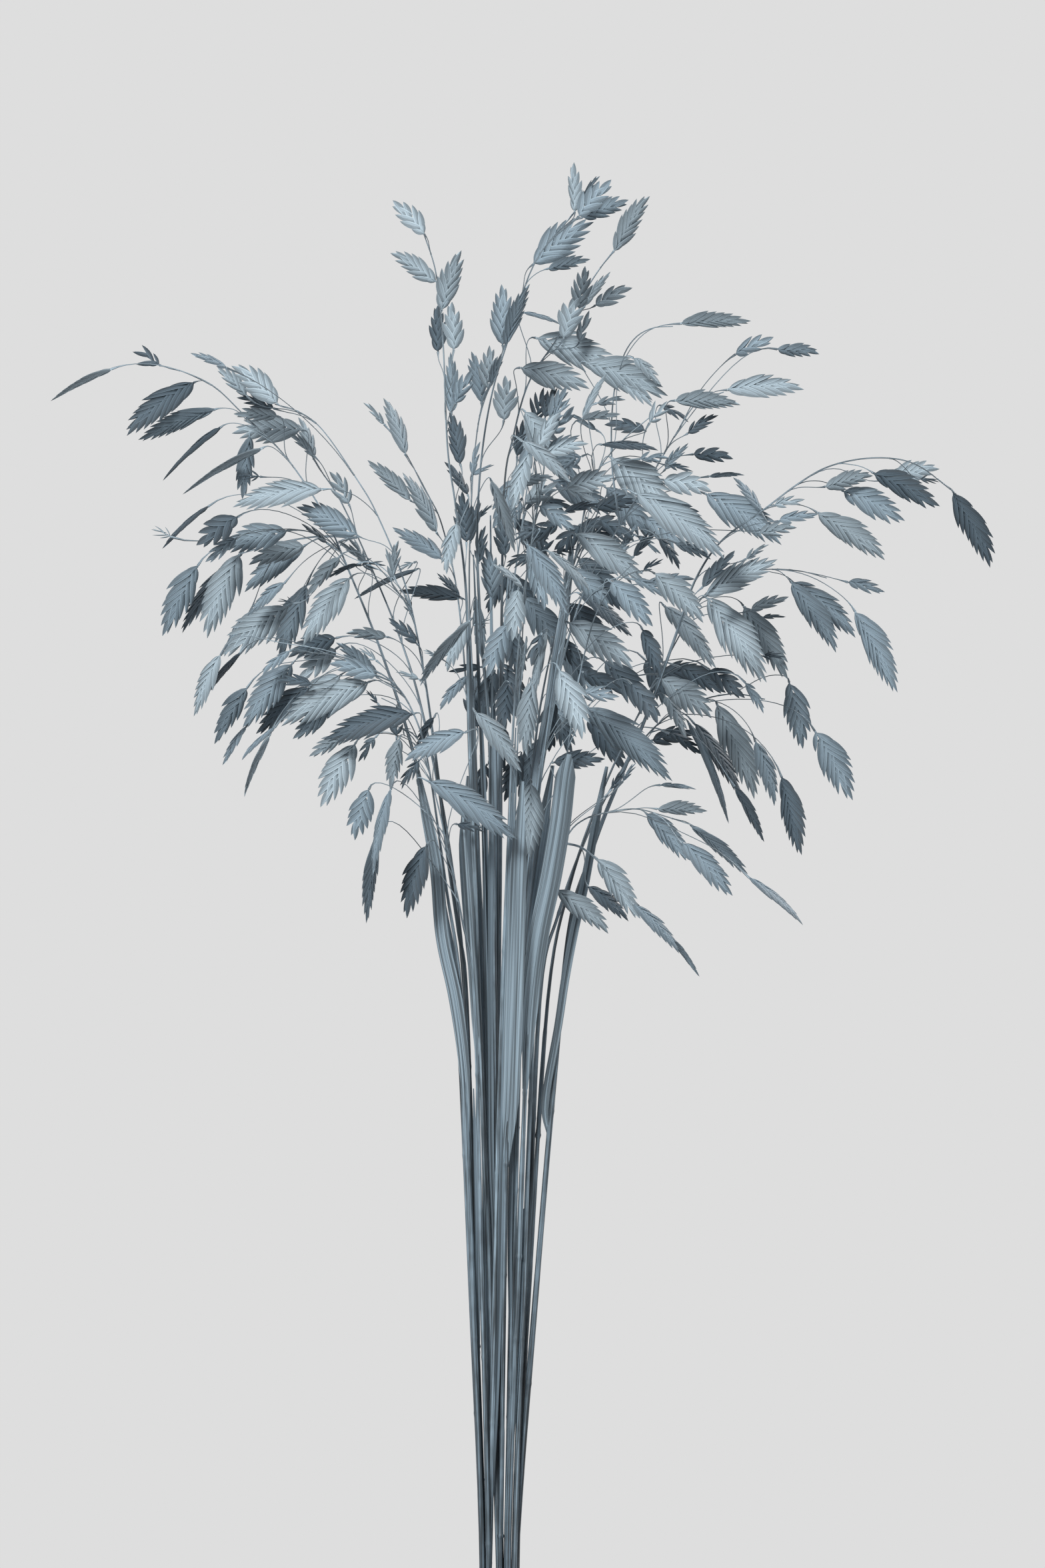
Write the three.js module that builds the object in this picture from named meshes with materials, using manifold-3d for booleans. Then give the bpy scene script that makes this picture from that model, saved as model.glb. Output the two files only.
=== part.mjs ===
// Potted northern sea oats: thin culms that stand in a plain round pot and fan out
// into a loose head of flat spikelets on hair-thin pedicels.
// Millimetres, +Z up. The origin is the middle of the pot's flat underside, and the
// plant is seen from its front along +Y.

import * as THREE from 'three';
import { mergeVertices } from 'three/addons/utils/BufferGeometryUtils.js';
import Module from 'manifold-3d';

const wasm = await Module();
wasm.setup();
const { Manifold, Mesh: SolidMesh } = wasm;

// Pot: a tapered wall with a rounded rim band
const POT_HEIGHT = 140;
const POT_BASE_RADIUS = 55;
const POT_RIM_RADIUS = 75;
const POT_WALL = 6;
const POT_FLOOR = 8;
const RIM_BAND_HEIGHT = 14;
const RIM_BAND_STEP = 2.5;
const RIM_EDGE = 2;
const WALL_SWELL = 0.9;
const POT_SIDES = 30;
const INNER_RIM_RADIUS = POT_RIM_RADIUS - POT_WALL;
const INNER_BASE_RADIUS = POT_BASE_RADIUS - POT_WALL + 1;

// Soil: clear of the pot's wall and floor, with one plain hole for each stem
const SOIL_TOP = 128;
const SOIL_EDGE_DROP = 2;
const SOIL_EDGE_WIDTH = 6;
const GAP = 0.3;
const HOLE_RADIUS = 1.9;
const HOLE_BOTTOM = 104;
const HOLE_LENGTH = 40;
const HOLE_SIDES = 4;

// Stems: the narrow waist where they stand closest, and how they spread from it.
// Between the waist and the first point of its path a stem passes its middle point.
const WAIST_Z = 165;
const ROOT_FLARE = 1.5;
const COLLAR_HEIGHT = 3;
const MIDDLE_ACROSS = 0.46;
const MIDDLE_UP = 0.5;
const DEPTH_REACH = 420;
const DEPTH_POWER = 2.4;
const CULM_RADIUS_ROOT = 1.15;
const CULM_RADIUS_TIP = 0.5;
const TAPER_POWER = 1.2;
const BRANCH_START = 0.75;
const BRANCH_BACK_STEP = 2;

// Pedicels: a foot some way down the stem, an arch, and a three-sided section
const PEDICEL_RADIUS = 0.42;
const PEDICEL_ROOT_RADIUS = 0.2;
const LONG_PEDICEL = 25;
const FOOT_DROP = 4;
const FOOT_DROP_PER_GAP = 0.8;
const PEDICEL_TURN_OUT = 0.45;
const PEDICEL_RISE = 0.4;
const PEDICEL_RUN_IN = 0.3;

// Spikelets: breadth and thickness follow from length, and the florets are few and large
const BREADTH_BASE = 3.2;
const BREADTH_PER_LENGTH = 0.27;
const HALF_THICKNESS_BASE = 0.35;
const HALF_THICKNESS_PER_BREADTH = 0.055;
const LEAST_TURN = 0.12;
const SPIKELET_BOW = 0.04;
const SHORT_SPIKELET = 23;
const MEDIUM_SPIKELET = 37;
const FLORET_TIP_ROOM = 0.7;
const FLORET_REACH = 1.05;
const FLORET_OFFSET = 0.35;
const NOTCH_STEP = 0.1;
const NOTCH_DEPTH = 0.62;
const KEEL_TAPER = 1.6;
const SEAM_TOLERANCE = 0.02;

// Lean and depth of the spikelets, which vary from one to the next along a stem
const LEAN_DEGREES = 17;
const LEAN_STEP = 1.7;
const GOLDEN_TURN = 2.39996;
const TONE_DEPTH = [-5, 0, 5];
const DEPTH_SPREAD = 3;
const DEPTH_SPREAD_PER_GAP = 0.45;
const WIDEST_GAP = 30;
const DEPTH_STEP = 2.5;
const DEPTH_TRIES = 60;
const CLEARANCE = 0.35;
const STEM_BOX_HALF = 1.05;
const BRANCH_BOX_HALF = 0.8;
const LEAF_BOX_HALF = 0.6;

// Leaves: flat ribbons that leave their culm at a collar
const LEAF_THICKNESS = 0.8;
const LEAF_LIFT = 1.3;

// One record for each culm. waist: where it stands at the waist, from above. depth: how
// far it leans to the back (+) or front (-). path: front-view points [x, z] above it.
// branches: side axes, as front-view points. spikelets: [base x, base z, tip x, tip z,
// breadth as seen from the front, tone], where tone 0 is the lightest and nearest.
// leaves: side -1 is in front of the culm, and points are [x, z, breadth].
const L = 0;
const M = 1;
const D = 2;

const CULMS = [
  {
    name: 'culm_left_low',
    waist: [-6.5, -4.8],
    depth: -48,
    path: [[-14.5, 378], [-20, 420], [-27, 468], [-33, 487], [-40, 497], [-50, 503], [-62, 507],
      [-78, 508.5]],
    spikelets: [
      [-104, 507, -114, 484, 6.5, L], [-97, 508, -110, 491.5, 2, D],
      [-78, 508.5, -88.5, 499.5, 4.5, M], [-77.3, 504, -95.5, 479.6, 11, M],
      [-71, 495, -91, 477.3, 9, D], [-94.4, 495, -106.4, 473.7, 7, M],
      [-95, 480.5, -103.6, 466, 3, M], [-48.8, 497, -81.8, 481, 13, L],
      [-59.5, 499.6, -78, 484, 9, L], [-62, 488, -77.3, 475.5, 8, M],
      [-83.6, 480, -96, 467.8, 2, M], [-86, 477, -95.5, 454, 2, L], [-70, 496, -84, 498, 5, M],
      [-46, 499, -61, 512, 6, M], [-46, 499.5, -63.5, 504, 7, M],
    ],
    leaves: [{ side: -1, points: [[-11.5, 327, 3], [-13.2, 352, 4], [-16.5, 378, 5],
      [-21.5, 402, 5], [-23.6, 427, 5], [-27.3, 447, 4], [-31, 466, 1.2]] }],
  },
  {
    name: 'culm_left_high',
    waist: [-6.4, -1.6],
    depth: -22,
    path: [[-12.5, 378], [-15.5, 404], [-19.5, 431.5], [-24.5, 473], [-29, 504], [-35.5, 534],
      [-46, 560], [-53.5, 573], [-66, 591], [-75, 598], [-84, 600.8]],
    spikelets: [
      [-83, 600.8, -100, 615.5, 10, L], [-94.5, 604, -106, 615, 6, L],
      [-101.5, 613.7, -115, 619, 3.5, M], [-84.6, 599.6, -98.5, 603.8, 5, D],
      [-66, 569, -100, 563, 10, L], [-53.5, 552, -76, 563, 10, M],
      [-65, 549.5, -74.5, 556.5, 3, D], [-60, 543.5, -72, 529, 5.5, L],
      [-56, 536, -74, 511, 11, L], [-53, 541.5, -65, 536, 2, D], [-40.5, 536, -38, 550, 5, L],
      [-39.5, 536.5, -43, 547.5, 3, L], [-31, 511.4, -41.8, 521, 5.5, M],
      [-42.3, 514, -57.5, 515.5, 5, L],
    ],
  },
  {
    name: 'culm_left_long',
    waist: [-6.6, 1.6],
    depth: 8,
    path: [[-16, 378], [-21, 414], [-31, 465], [-43.6, 506], [-57.3, 540.5], [-66, 560],
      [-76, 576], [-85, 587], [-96, 597.5], [-107, 608], [-118, 613.5], [-128.5, 616.5]],
    spikelets: [
      [-128, 616.5, -138, 622, 10, D], [-146, 615, -169, 603, 2, M],
      [-115, 610, -140.5, 590, 11, D], [-107, 600, -136, 588, 7, D],
      [-105, 593, -127, 573, 2, D], [-89, 585, -119, 567.5, 2, L],
      [-110, 563.5, -127, 547.5, 2, D], [-94, 590, -96.5, 566, 7, D],
      [-74.5, 592, -101, 591.5, 12, L], [-83.5, 597, -100, 597.5, 6, L],
      [-98.5, 559, -113.5, 548, 10, D], [-80, 554.3, -105, 547, 11, M],
      [-99, 551, -110.5, 542, 6, D], [-49.5, 541, -61, 550.5, 3, L],
      [-50.5, 542, -57, 551.5, 4, L],
    ],
  },
  {
    name: 'culm_left_back',
    waist: [-6.35, 4.8],
    depth: 45,
    path: [[-13, 378], [-20, 440], [-29, 485], [-36.4, 510.5], [-47.3, 537.8], [-60, 565.5],
      [-68, 578], [-76, 592]],
    branches: [[[-54, 552], [-68, 552.5], [-84, 550], [-98, 546]]],
    spikelets: [
      [-70.5, 582, -76, 597.7, 5, L], [-70, 582.5, -80, 592, 4, L],
      [-57, 564.5, -64, 577, 8, L], [-74, 549, -95, 542, 8, M], [-74, 549, -97, 532, 9, D],
      [-114, 541.5, -127, 514.5, 10, M], [-98, 546, -120.5, 516, 7, D],
      [-98, 546, -111, 514, 13, L], [-81, 534.5, -95, 522, 4.5, M],
      [-79.5, 526, -104.5, 507, 14, L], [-94.5, 524, -104, 507, 3.5, M],
      [-73, 534.5, -83.5, 506, 10, D], [-32, 539.5, -55, 528.5, 2, D],
      [-61.8, 514, -80, 507, 9, D], [-62, 510, -76, 498, 9, M],
    ],
  },
  {
    name: 'culm_left_front',
    waist: [-4.3, -6.4],
    depth: -75,
    path: [[-9.5, 378], [-14, 408], [-19.5, 435], [-24, 455], [-29, 472], [-36, 486], [-44, 491]],
    spikelets: [
      [-32.3, 485, -65.5, 475, 11, M], [-57.3, 477, -71, 469, 6, L],
      [-54, 474, -66.4, 450, 12, L], [-46.4, 476.5, -52.7, 467, 5, D],
      [-48.8, 457, -54.5, 438, 10, M], [-37.3, 476, -40.5, 457, 6.5, L],
      [-40.5, 457, -47, 425, 4.5, L], [-45, 441, -49.5, 407, 5, M],
      [-12.7, 478.2, -35.5, 467.8, 8, M], [-24.5, 484, -31.4, 472.3, 4, D],
      [-30, 467.8, -36.8, 457, 5, D], [-26.4, 460, 6.4, 438, 11, M],
      [-27, 436.5, -35, 409, 9, D], [-16, 444, -5.5, 441, 3.5, D], [-38.5, 477, -38, 489, 8, D],
    ],
  },
  {
    name: 'culm_upright_left',
    waist: [-0.3, -1.3],
    depth: -40,
    path: [[-8, 378], [-9.5, 430], [-11.5, 480], [-12.5, 530], [-16.5, 563], [-19.5, 585],
      [-21, 622], [-23.5, 648], [-28, 663]],
    spikelets: [
      [-28, 663, -40, 675.5, 8, L], [-23.5, 645.5, -40.5, 656.5, 7.5, L],
      [-21.5, 635, -14.5, 657, 8.5, L], [-23, 620, -23, 638, 6.5, D],
      [-17, 620, -18, 638, 7.5, L], [-18, 597, -18.5, 620, 6, M],
      [-16.5, 600.5, -10, 613, 7, M], [-14.7, 578, -18.5, 597.5, 7, M],
      [-12, 567, -20.5, 579.5, 4.5, D], [-12.5, 549.5, -14.5, 568.5, 8, D],
      [-16, 556, -20, 537, 6.5, L], [-11, 520, -30, 495.5, 4, L], [-12, 519.5, -20, 501, 7, L],
    ],
    leaves: [{ side: -1, points: [[-6.9, 340, 2.5], [-9, 370, 3], [-11.5, 410, 3.4],
      [-14, 447, 1]] }],
  },
  {
    name: 'culm_upright_centre',
    waist: [-4.2, 0],
    depth: 15,
    path: [[-6.5, 378], [-8, 430], [-9.5, 480], [-11.5, 530], [-10.5, 570], [-8.5, 592],
      [-6, 605]],
    spikelets: [
      [-7, 602.5, -10.5, 622, 7, M], [-4.5, 607.5, -3.5, 624, 8, L], [-3.5, 609, 1, 621, 4, M],
      [-10.5, 575.5, -7.5, 588, 3.5, M], [-3.3, 573, 5.5, 546, 5, L],
      [-7, 503, -19.5, 501, 3.5, D], [-12, 499.5, -22.6, 486.7, 4.5, M],
      [-8.5, 480, -9, 502, 10, D], [-9, 529, -7, 506, 5, M],
    ],
  },
  {
    name: 'culm_back_left',
    waist: [-4.1, 3.2],
    depth: 70,
    path: [[-6, 378], [-8.5, 430], [-12, 485], [-16, 530], [-22, 557], [-27.5, 569],
      [-35.5, 584]],
    spikelets: [
      [-36, 584, -44, 605.5, 6.5, L], [-44, 595.5, -52, 604, 3, L],
      [-24, 554, -37, 576.5, 6.5, L], [-34, 566.5, -50.5, 581.5, 6, L],
      [-22, 544, -41, 556, 6.5, M], [-15, 529.5, -38.5, 532, 6, D],
      [-15, 529.5, -24, 538.5, 4, D],
    ],
    leaves: [{ side: 1, points: [[-4.8, 332, 3], [-7, 366, 5], [-10.5, 404, 6],
      [-13, 436, 5], [-12, 462, 1.2]] }],
  },
  {
    name: 'culm_back_centre',
    waist: [-4.2, 6.4],
    depth: 105,
    path: [[-3.4, 378], [-3, 430], [-1, 480], [3, 520], [8, 555], [12, 585], [14, 600]],
    spikelets: [
      [5, 575, -1, 552, 9, M], [14, 600, 10, 578, 11, M], [16, 590, 30, 572, 12, M],
      [6, 560, 18, 545, 11, D], [3, 540, 12, 520, 11, D], [1, 520, 8, 498, 10, D],
      [0, 505, 9, 482, 10, D], [2, 480, -2, 458, 8, D], [9, 530, 24, 508, 12, D],
      [20, 575, 42, 562, 12, D],
    ],
  },
  {
    name: 'culm_front',
    waist: [0.2, -4.8],
    depth: -115,
    path: [[3.5, 378], [5, 430], [6.5, 470], [8, 505], [10, 535], [13, 556]],
    spikelets: [
      [7, 531, 5, 511.5, 8.5, L], [2.8, 518, -4.5, 498, 9, M], [22, 501.5, 31, 475.5, 11, L],
      [11.7, 497, 10, 468.8, 8.5, L], [17.5, 515.5, 12, 489, 4, L], [10, 512, 7, 490.5, 2.5, L],
      [15.5, 514, 11.5, 502.5, 6, M], [-9, 485.5, 8, 463, 8, L],
      [11.7, 459.6, 11.2, 430.5, 11, L], [10, 547.5, 25, 521, 9, M], [11, 545, 17, 523, 8, M],
      [18, 545, 33.5, 530.5, 4, L],
    ],
    leaves: [{ side: -1, points: [[1.6, 317, 4], [4, 340, 6], [5, 370, 7], [6, 400, 7],
      [7, 430, 6], [8.5, 460, 1.2]] }],
  },
  {
    name: 'culm_centre_front',
    waist: [-4.1, -3.9],
    depth: -70,
    path: [[1, 378], [3, 430], [5, 480], [8, 520], [12, 550], [16, 572], [17, 584]],
    spikelets: [
      [9.5, 597, 20, 580, 12, L], [14.5, 584, 22.5, 597, 6, L], [18, 583, 30, 588, 5, L],
      [17, 581, 33, 585, 6, L], [18.5, 595.5, 25.5, 607.5, 6, M], [8.5, 585.5, 26.5, 570, 6, L],
      [11, 581, 5, 560, 7, L], [4, 569.5, 20, 573, 5, L], [10, 563.5, 22, 571, 10, L],
      [24.5, 568.5, 43, 573, 9, L], [25, 568.5, 36, 563.5, 5, M], [14.5, 562, 28, 553, 8, M],
      [24, 560, 37, 563, 4, M],
    ],
  },
  {
    name: 'culm_top',
    waist: [0.3, 1.6],
    depth: -5,
    path: [[-1.9, 378], [-2.6, 430], [-4, 480], [-7, 515], [-8.5, 550], [-7, 580], [-3, 605],
      [3, 625], [13, 654], [28, 673]],
    spikelets: [
      [1.5, 595, 2.5, 612, 10, L], [1, 623.5, 1, 646.5, 9, M], [2, 623, 11, 646, 6, M],
      [28, 673, 27.5, 691.5, 5.5, L], [30, 676, 37.5, 687, 3, M], [29.5, 671, 42, 684.5, 9, M],
      [31, 671.5, 48.5, 677.5, 8, M], [12.5, 654, 35, 670.5, 13, M], [18, 652, 34, 655.5, 5, M],
      [-2.5, 528.5, -5, 548, 8, M], [8.5, 532.5, -3, 541.5, 3, L],
    ],
  },
  {
    name: 'culm_upper_right',
    waist: [0.1, 4.8],
    depth: 40,
    path: [[-0.5, 378], [0, 430], [0.5, 500], [1.5, 568], [5, 590], [11, 611], [22, 628],
      [35, 650], [43, 661]],
    spikelets: [
      [43, 660.5, 56.5, 682, 8, L], [36, 640, 50, 647, 7, L], [30, 638.5, 32.5, 654.5, 8, L],
      [32, 640, 42, 653, 3.5, L], [24, 627, 30, 643, 11, L], [9, 637, 23, 632.5, 2, M],
      [13.5, 628, 46, 614.5, 13, L], [7.5, 616, 34, 608.5, 11, L], [13.5, 596, 17, 609, 9, D],
      [6.5, 583, 9, 597, 5, D], [2, 545, -0.5, 560, 7, D],
    ],
  },
  {
    name: 'culm_front_right',
    waist: [3.1, -6.6],
    depth: -90,
    path: [[11, 378], [14.5, 402], [19, 424], [24, 462], [29, 495], [35, 520], [43, 534],
      [50, 541]],
    spikelets: [
      [32, 488, 64, 459.6, 12, M], [20, 467, 39.4, 468, 7, M], [49, 496, 59, 481.5, 9, M],
      [25.5, 519, 50, 502, 12, L], [31, 500.5, 46, 492.5, 7, D], [30.5, 492.5, 44.5, 491, 7, L],
      [53, 516.5, 60, 498, 7, M], [41, 534, 56.5, 517, 9.5, M], [57.5, 537, 76, 519, 10, L],
    ],
    leaves: [{ side: -1, points: [[8.5, 345, 4], [11.5, 378, 6.5], [14.5, 402, 7.5],
      [19, 424, 8], [22.5, 445, 8], [24.5, 462, 7.5]] }],
  },
  {
    name: 'culm_right_centre',
    waist: [2.4, -3.2],
    depth: -50,
    path: [[8, 378], [12, 430], [17, 475], [24, 520], [30, 553], [36, 574], [45, 586],
      [55.5, 595]],
    spikelets: [
      [36, 600.5, 47, 602, 4, L], [31, 595, 40, 612, 3, L], [30.5, 594.5, 45, 596, 4, L],
      [36, 591, 25, 597, 2.5, M], [54, 590.5, 39, 593, 6, D], [38, 585, 59, 583, 3.5, D],
      [41.5, 580.5, 65, 558, 14, L], [50, 567, 84, 543, 13, L], [60, 563, 76, 557, 7, M],
      [61, 572, 79, 568, 9, L], [52, 579.5, 63, 580, 5, M], [28, 552, 54.5, 533, 11, L],
      [26.5, 539, 41, 524, 9, M],
    ],
  },
  {
    name: 'culm_right_high',
    waist: [3, 0],
    depth: 0,
    path: [[7.5, 378], [12, 440], [20, 490], [31, 530], [45, 556], [57, 575], [66.5, 591],
      [74, 602], [84, 606]],
    spikelets: [
      [32, 617, 63, 604, 13, L], [50, 618.5, 60.5, 608, 5, L], [67.5, 631, 94, 631.5, 6, M],
      [88.5, 620.3, 103, 626.5, 6.5, M], [104, 622, 120, 620.5, 6, M],
      [85, 606.5, 114, 607, 9, L], [65.5, 602.5, 90, 601, 7, L], [61, 601, 71, 595, 4, D],
      [56, 594, 63, 602, 9, L], [70.5, 590.5, 82, 597.5, 5.5, M],
      [72.5, 582.5, 87.5, 581, 6.5, M], [62, 577, 71, 587, 4.5, M],
      [98, 560.5, 87.5, 574, 4, M], [77, 568, 106, 549, 13, M], [78.5, 574.5, 92, 575, 2, M],
    ],
  },
  {
    name: 'culm_back_right',
    waist: [2.5, 3.3],
    depth: 70,
    path: [[7, 378], [11, 430], [16, 480], [22, 520], [29, 545], [39, 557]],
    spikelets: [
      [36, 564, 52, 566, 7, D], [27, 553, 44, 561, 5, D], [38, 559, 51, 551, 7, D],
      [46, 546, 52, 558, 4, M], [50.5, 545, 59, 554.5, 4.5, D], [60, 552, 68, 540, 5, D],
      [52, 553, 61, 546, 3, M], [30, 531, 50, 514.5, 6, D], [21, 514, 31.5, 502.5, 8, D],
      [60.5, 500.5, 80, 500.5, 8.5, D], [79, 502, 92, 491, 8, D], [56, 535, 74, 537, 5, M],
      [15, 545, 19, 556, 8, D],
    ],
    leaves: [{ side: 1, points: [[8, 390, 3], [10, 430, 4], [14, 462, 4], [19, 490, 4],
      [23, 515, 4], [26, 538, 3], [27.5, 552, 1.2]] }],
  },
  {
    name: 'culm_back_far',
    waist: [3.3, 6.6],
    depth: 105,
    path: [[6, 378], [10, 430], [14, 480], [22, 520], [32, 550], [42, 572], [50, 583]],
    spikelets: [
      [48, 582, 62, 566, 12, M], [40, 572, 58, 552, 12, M], [33, 560, 47, 541, 11, D],
      [30, 545, 45, 530, 11, D], [26, 528, 40, 508, 12, D], [22, 510, 38, 492, 11, D],
      [18, 492, 27, 470, 10, D], [14, 475, 8, 452, 9, D], [36, 535, 54, 524, 10, D],
      [55, 560, 70, 548, 10, M],
    ],
    leaves: [{ side: 1, points: [[4.5, 336, 3], [7, 372, 6], [11, 406, 7], [15, 436, 6],
      [20, 466, 1.2]] }],
  },
  {
    name: 'culm_right_low',
    waist: [5.4, -4.8],
    depth: -60,
    path: [[13, 378], [15.5, 400], [20, 425], [25.5, 440], [32, 446], [40.8, 448.5],
      [50.7, 449.7], [60, 447.5], [71.5, 443.8]],
    spikelets: [
      [58.6, 449.7, 77.4, 448.7, 5.5, L], [60, 458.6, 73.5, 457, 2, M],
      [54.7, 448, 71, 430, 8, M], [68, 437, 86.5, 417, 9, M], [71.5, 443.5, 93, 424, 5, M],
      [93, 424, 113, 406.5, 3, M], [36.4, 431, 52.2, 408.3, 9, L],
      [33, 420.6, 48.3, 407.8, 6, D], [21.6, 419.6, 40.9, 403.3, 8.5, L],
      [50, 414, 67, 396, 5, M], [63, 402, 74.5, 387, 2, M],
    ],
  },
  {
    name: 'culm_right_long',
    waist: [5.9, -1.6],
    depth: -20,
    path: [[22.5, 372], [27, 410], [33, 429.5], [40, 449], [54.7, 484], [66, 515], [73, 535],
      [83, 550], [98, 561], [112, 571.5], [124, 578], [140, 580.8], [155, 578.5],
      [169.5, 568]],
    spikelets: [
      [121.5, 570, 139.5, 574.5, 7, L], [128.5, 568.5, 151.5, 557, 11, M],
      [139.5, 575, 164, 562, 9.5, M], [145.5, 573.5, 165, 577.5, 8.5, L],
      [169.4, 568, 184, 540, 10, M], [102.5, 563, 114, 565, 5, L], [97, 553, 111, 555, 6, L],
      [104, 557, 119, 559.5, 5, L], [118.5, 560.5, 144.5, 543, 10, L],
      [76.6, 529, 104, 542.5, 10, L], [75.7, 532.4, 88, 546, 5, M],
    ],
    leaves: [{ side: -1, points: [[15.5, 327, 2.4], [17, 340, 3], [21.8, 368, 3],
      [24.5, 386, 3.2], [28, 405, 3.4], [32, 423, 3.4], [36, 445, 3], [40, 465.5, 1.2]] }],
  },
  {
    name: 'culm_right_mid',
    waist: [5.2, 1.6],
    depth: 20,
    path: [[18, 378], [26, 420], [38, 455], [52, 485], [66, 512], [76, 529], [86, 536],
      [98, 539.5], [112, 539.3], [123, 536.5]],
    spikelets: [
      [109.5, 535, 127, 508.5, 9, M], [110.5, 535, 134.5, 514.5, 10, M],
      [133.5, 524, 149, 493, 10, M], [131, 535, 145, 531, 5.5, M], [91.4, 526, 108, 498, 10, L],
      [94, 524, 108.5, 529, 5, M], [77.5, 529, 99.5, 496.5, 14, L],
      [61.5, 526, 81, 502, 8.5, L], [60.5, 498.5, 80, 484, 12, L], [62, 492, 70, 476, 5, L],
    ],
  },
  {
    name: 'culm_right_back',
    waist: [6.3, 4.9],
    depth: 50,
    path: [[15, 378], [22, 410], [33, 440], [47, 466], [60, 482], [74, 490], [88, 493],
      [100, 491]],
    spikelets: [
      [81.9, 489.3, 96.7, 453.2, 11, L], [71, 482.3, 86.3, 443.8, 3, M],
      [88.3, 458, 99.2, 437, 4, D], [73.5, 482, 91.3, 454.2, 7, D],
      [57.5, 475.5, 74, 478, 7, D], [96.2, 475, 103.6, 450.7, 7, M],
      [106, 461.6, 113, 432, 9, M], [109, 497.3, 113.8, 472, 10, M],
      [118.5, 479, 132.5, 452.5, 12, M],
    ],
  },
];

// Small helpers
const X_AXIS = new THREE.Vector3(1, 0, 0);
const FRONT = new THREE.Vector3(0, -1, 0);
const UP = new THREE.Vector3(0, 0, 1);

function vector(x, y, z) {
  return new THREE.Vector3(x, y, z);
}

function along(point, ...moves) {
  const result = point.clone();
  for (const [direction, distance] of moves) {
    result.addScaledVector(direction, distance);
  }
  return result;
}

function square(direction, axis) {
  return along(direction, [axis, -direction.dot(axis)]).normalize();
}

// A closed body from points and triangles, turned so that its faces point out
function solidFrom(points, triangles) {
  let volume = 0;
  for (const [a, b, c] of triangles) {
    volume += points[a].dot(vector(0, 0, 0).crossVectors(points[b], points[c]));
  }
  const wound = volume > 0 ? triangles : triangles.map(([a, b, c]) => [a, c, b]);
  return new Manifold(new SolidMesh({
    numProp: 3,
    vertProperties: Float32Array.from(points.flatMap((point) => point.toArray())),
    triVerts: Uint32Array.from(wound.flat()),
  }));
}

function solidFromGeometry(geometry) {
  geometry.deleteAttribute('normal');
  geometry.deleteAttribute('uv');
  const merged = mergeVertices(geometry, 1e-4);
  return new Manifold(new SolidMesh({
    numProp: 3,
    vertProperties: Float32Array.from(merged.attributes.position.array),
    triVerts: Uint32Array.from(merged.index.array),
  }));
}

function geometryFrom(solid) {
  const { numProp, vertProperties, triVerts } = solid.getMesh();
  const positions = [];
  for (let start = 0; start < vertProperties.length; start += numProp) {
    positions.push(...vertProperties.slice(start, start + 3));
  }
  const geometry = new THREE.BufferGeometry();
  geometry.setAttribute('position', new THREE.Float32BufferAttribute(positions, 3));
  geometry.setIndex([...triVerts]);
  return geometry;
}

// Rings of equal size joined into one closed body, with a flat cap at each end
function skin(rings) {
  const sides = rings[0].length;
  const points = rings.flat();
  const triangles = [];
  for (let ring = 0; ring + 1 < rings.length; ring += 1) {
    for (let side = 0; side < sides; side += 1) {
      const a = ring * sides + side;
      const b = ring * sides + (side + 1) % sides;
      triangles.push([a, b, b + sides], [a, b + sides, a + sides]);
    }
  }
  const last = (rings.length - 1) * sides;
  for (let side = 1; side + 1 < sides; side += 1) {
    triangles.push([0, side + 1, side], [last, last + side, last + side + 1]);
  }
  return solidFrom(points, triangles);
}

function tangents(points) {
  return points.map((point, index) => {
    const before = points[Math.max(0, index - 1)];
    const after = points[Math.min(points.length - 1, index + 1)];
    return after.clone().sub(before).normalize();
  });
}

// A point at a distance along a polyline, with its direction there
function pointAt(points, distance) {
  let left = distance;
  for (let index = 0; index + 1 < points.length; index += 1) {
    const step = points[index + 1].clone().sub(points[index]);
    const length = step.length();
    if (left <= length || index + 2 === points.length) {
      const direction = step.normalize();
      return { point: along(points[index], [direction, Math.min(left, length)]), direction };
    }
    left -= length;
  }
  return null;
}

// The distance along a polyline of the place nearest a front-view point
function nearestDistance(points, x, z) {
  let best = { gap: Infinity, distance: 0 };
  let travelled = 0;
  for (let index = 0; index + 1 < points.length; index += 1) {
    const start = points[index];
    const step = points[index + 1].clone().sub(start);
    const flat = step.x * step.x + step.z * step.z;
    const share = ((x - start.x) * step.x + (z - start.z) * step.z) / flat;
    const held = Math.min(1, Math.max(0, share));
    const gap = Math.hypot(start.x + held * step.x - x, start.z + held * step.z - z);
    if (gap < best.gap) {
      best = { gap, distance: travelled + held * step.length() };
    }
    travelled += step.length();
  }
  return best;
}

// How deep a culm stands at a front-view distance above its waist
function depthAt(culm, distance) {
  const share = Math.max(0, distance) / DEPTH_REACH;
  return culm.waist[1] + (culm.depth - culm.waist[1]) * share ** DEPTH_POWER;
}

// The culm's line, from the bottom of its hole to its tip
function culmLine(culm) {
  const [waistX, waistY] = culm.waist;
  const rootX = waistX * ROOT_FLARE;
  const rootY = waistY * ROOT_FLARE;
  const [firstX, firstZ] = culm.path[0];
  const rise = firstZ - WAIST_Z;
  const middle = [waistX + (firstX - waistX) * MIDDLE_ACROSS, WAIST_Z + rise * MIDDLE_UP];
  const flat = [[waistX, WAIST_Z], middle, ...culm.path];
  const line = [
    vector(rootX, rootY, HOLE_BOTTOM + GAP),
    vector(rootX, rootY, SOIL_TOP + COLLAR_HEIGHT),
  ];
  let travelled = 0;
  flat.forEach(([x, z], index) => {
    if (index > 0) {
      travelled += Math.hypot(x - flat[index - 1][0], z - flat[index - 1][1]);
    }
    line.push(vector(x, depthAt(culm, travelled), z));
  });
  return line;
}

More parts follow.
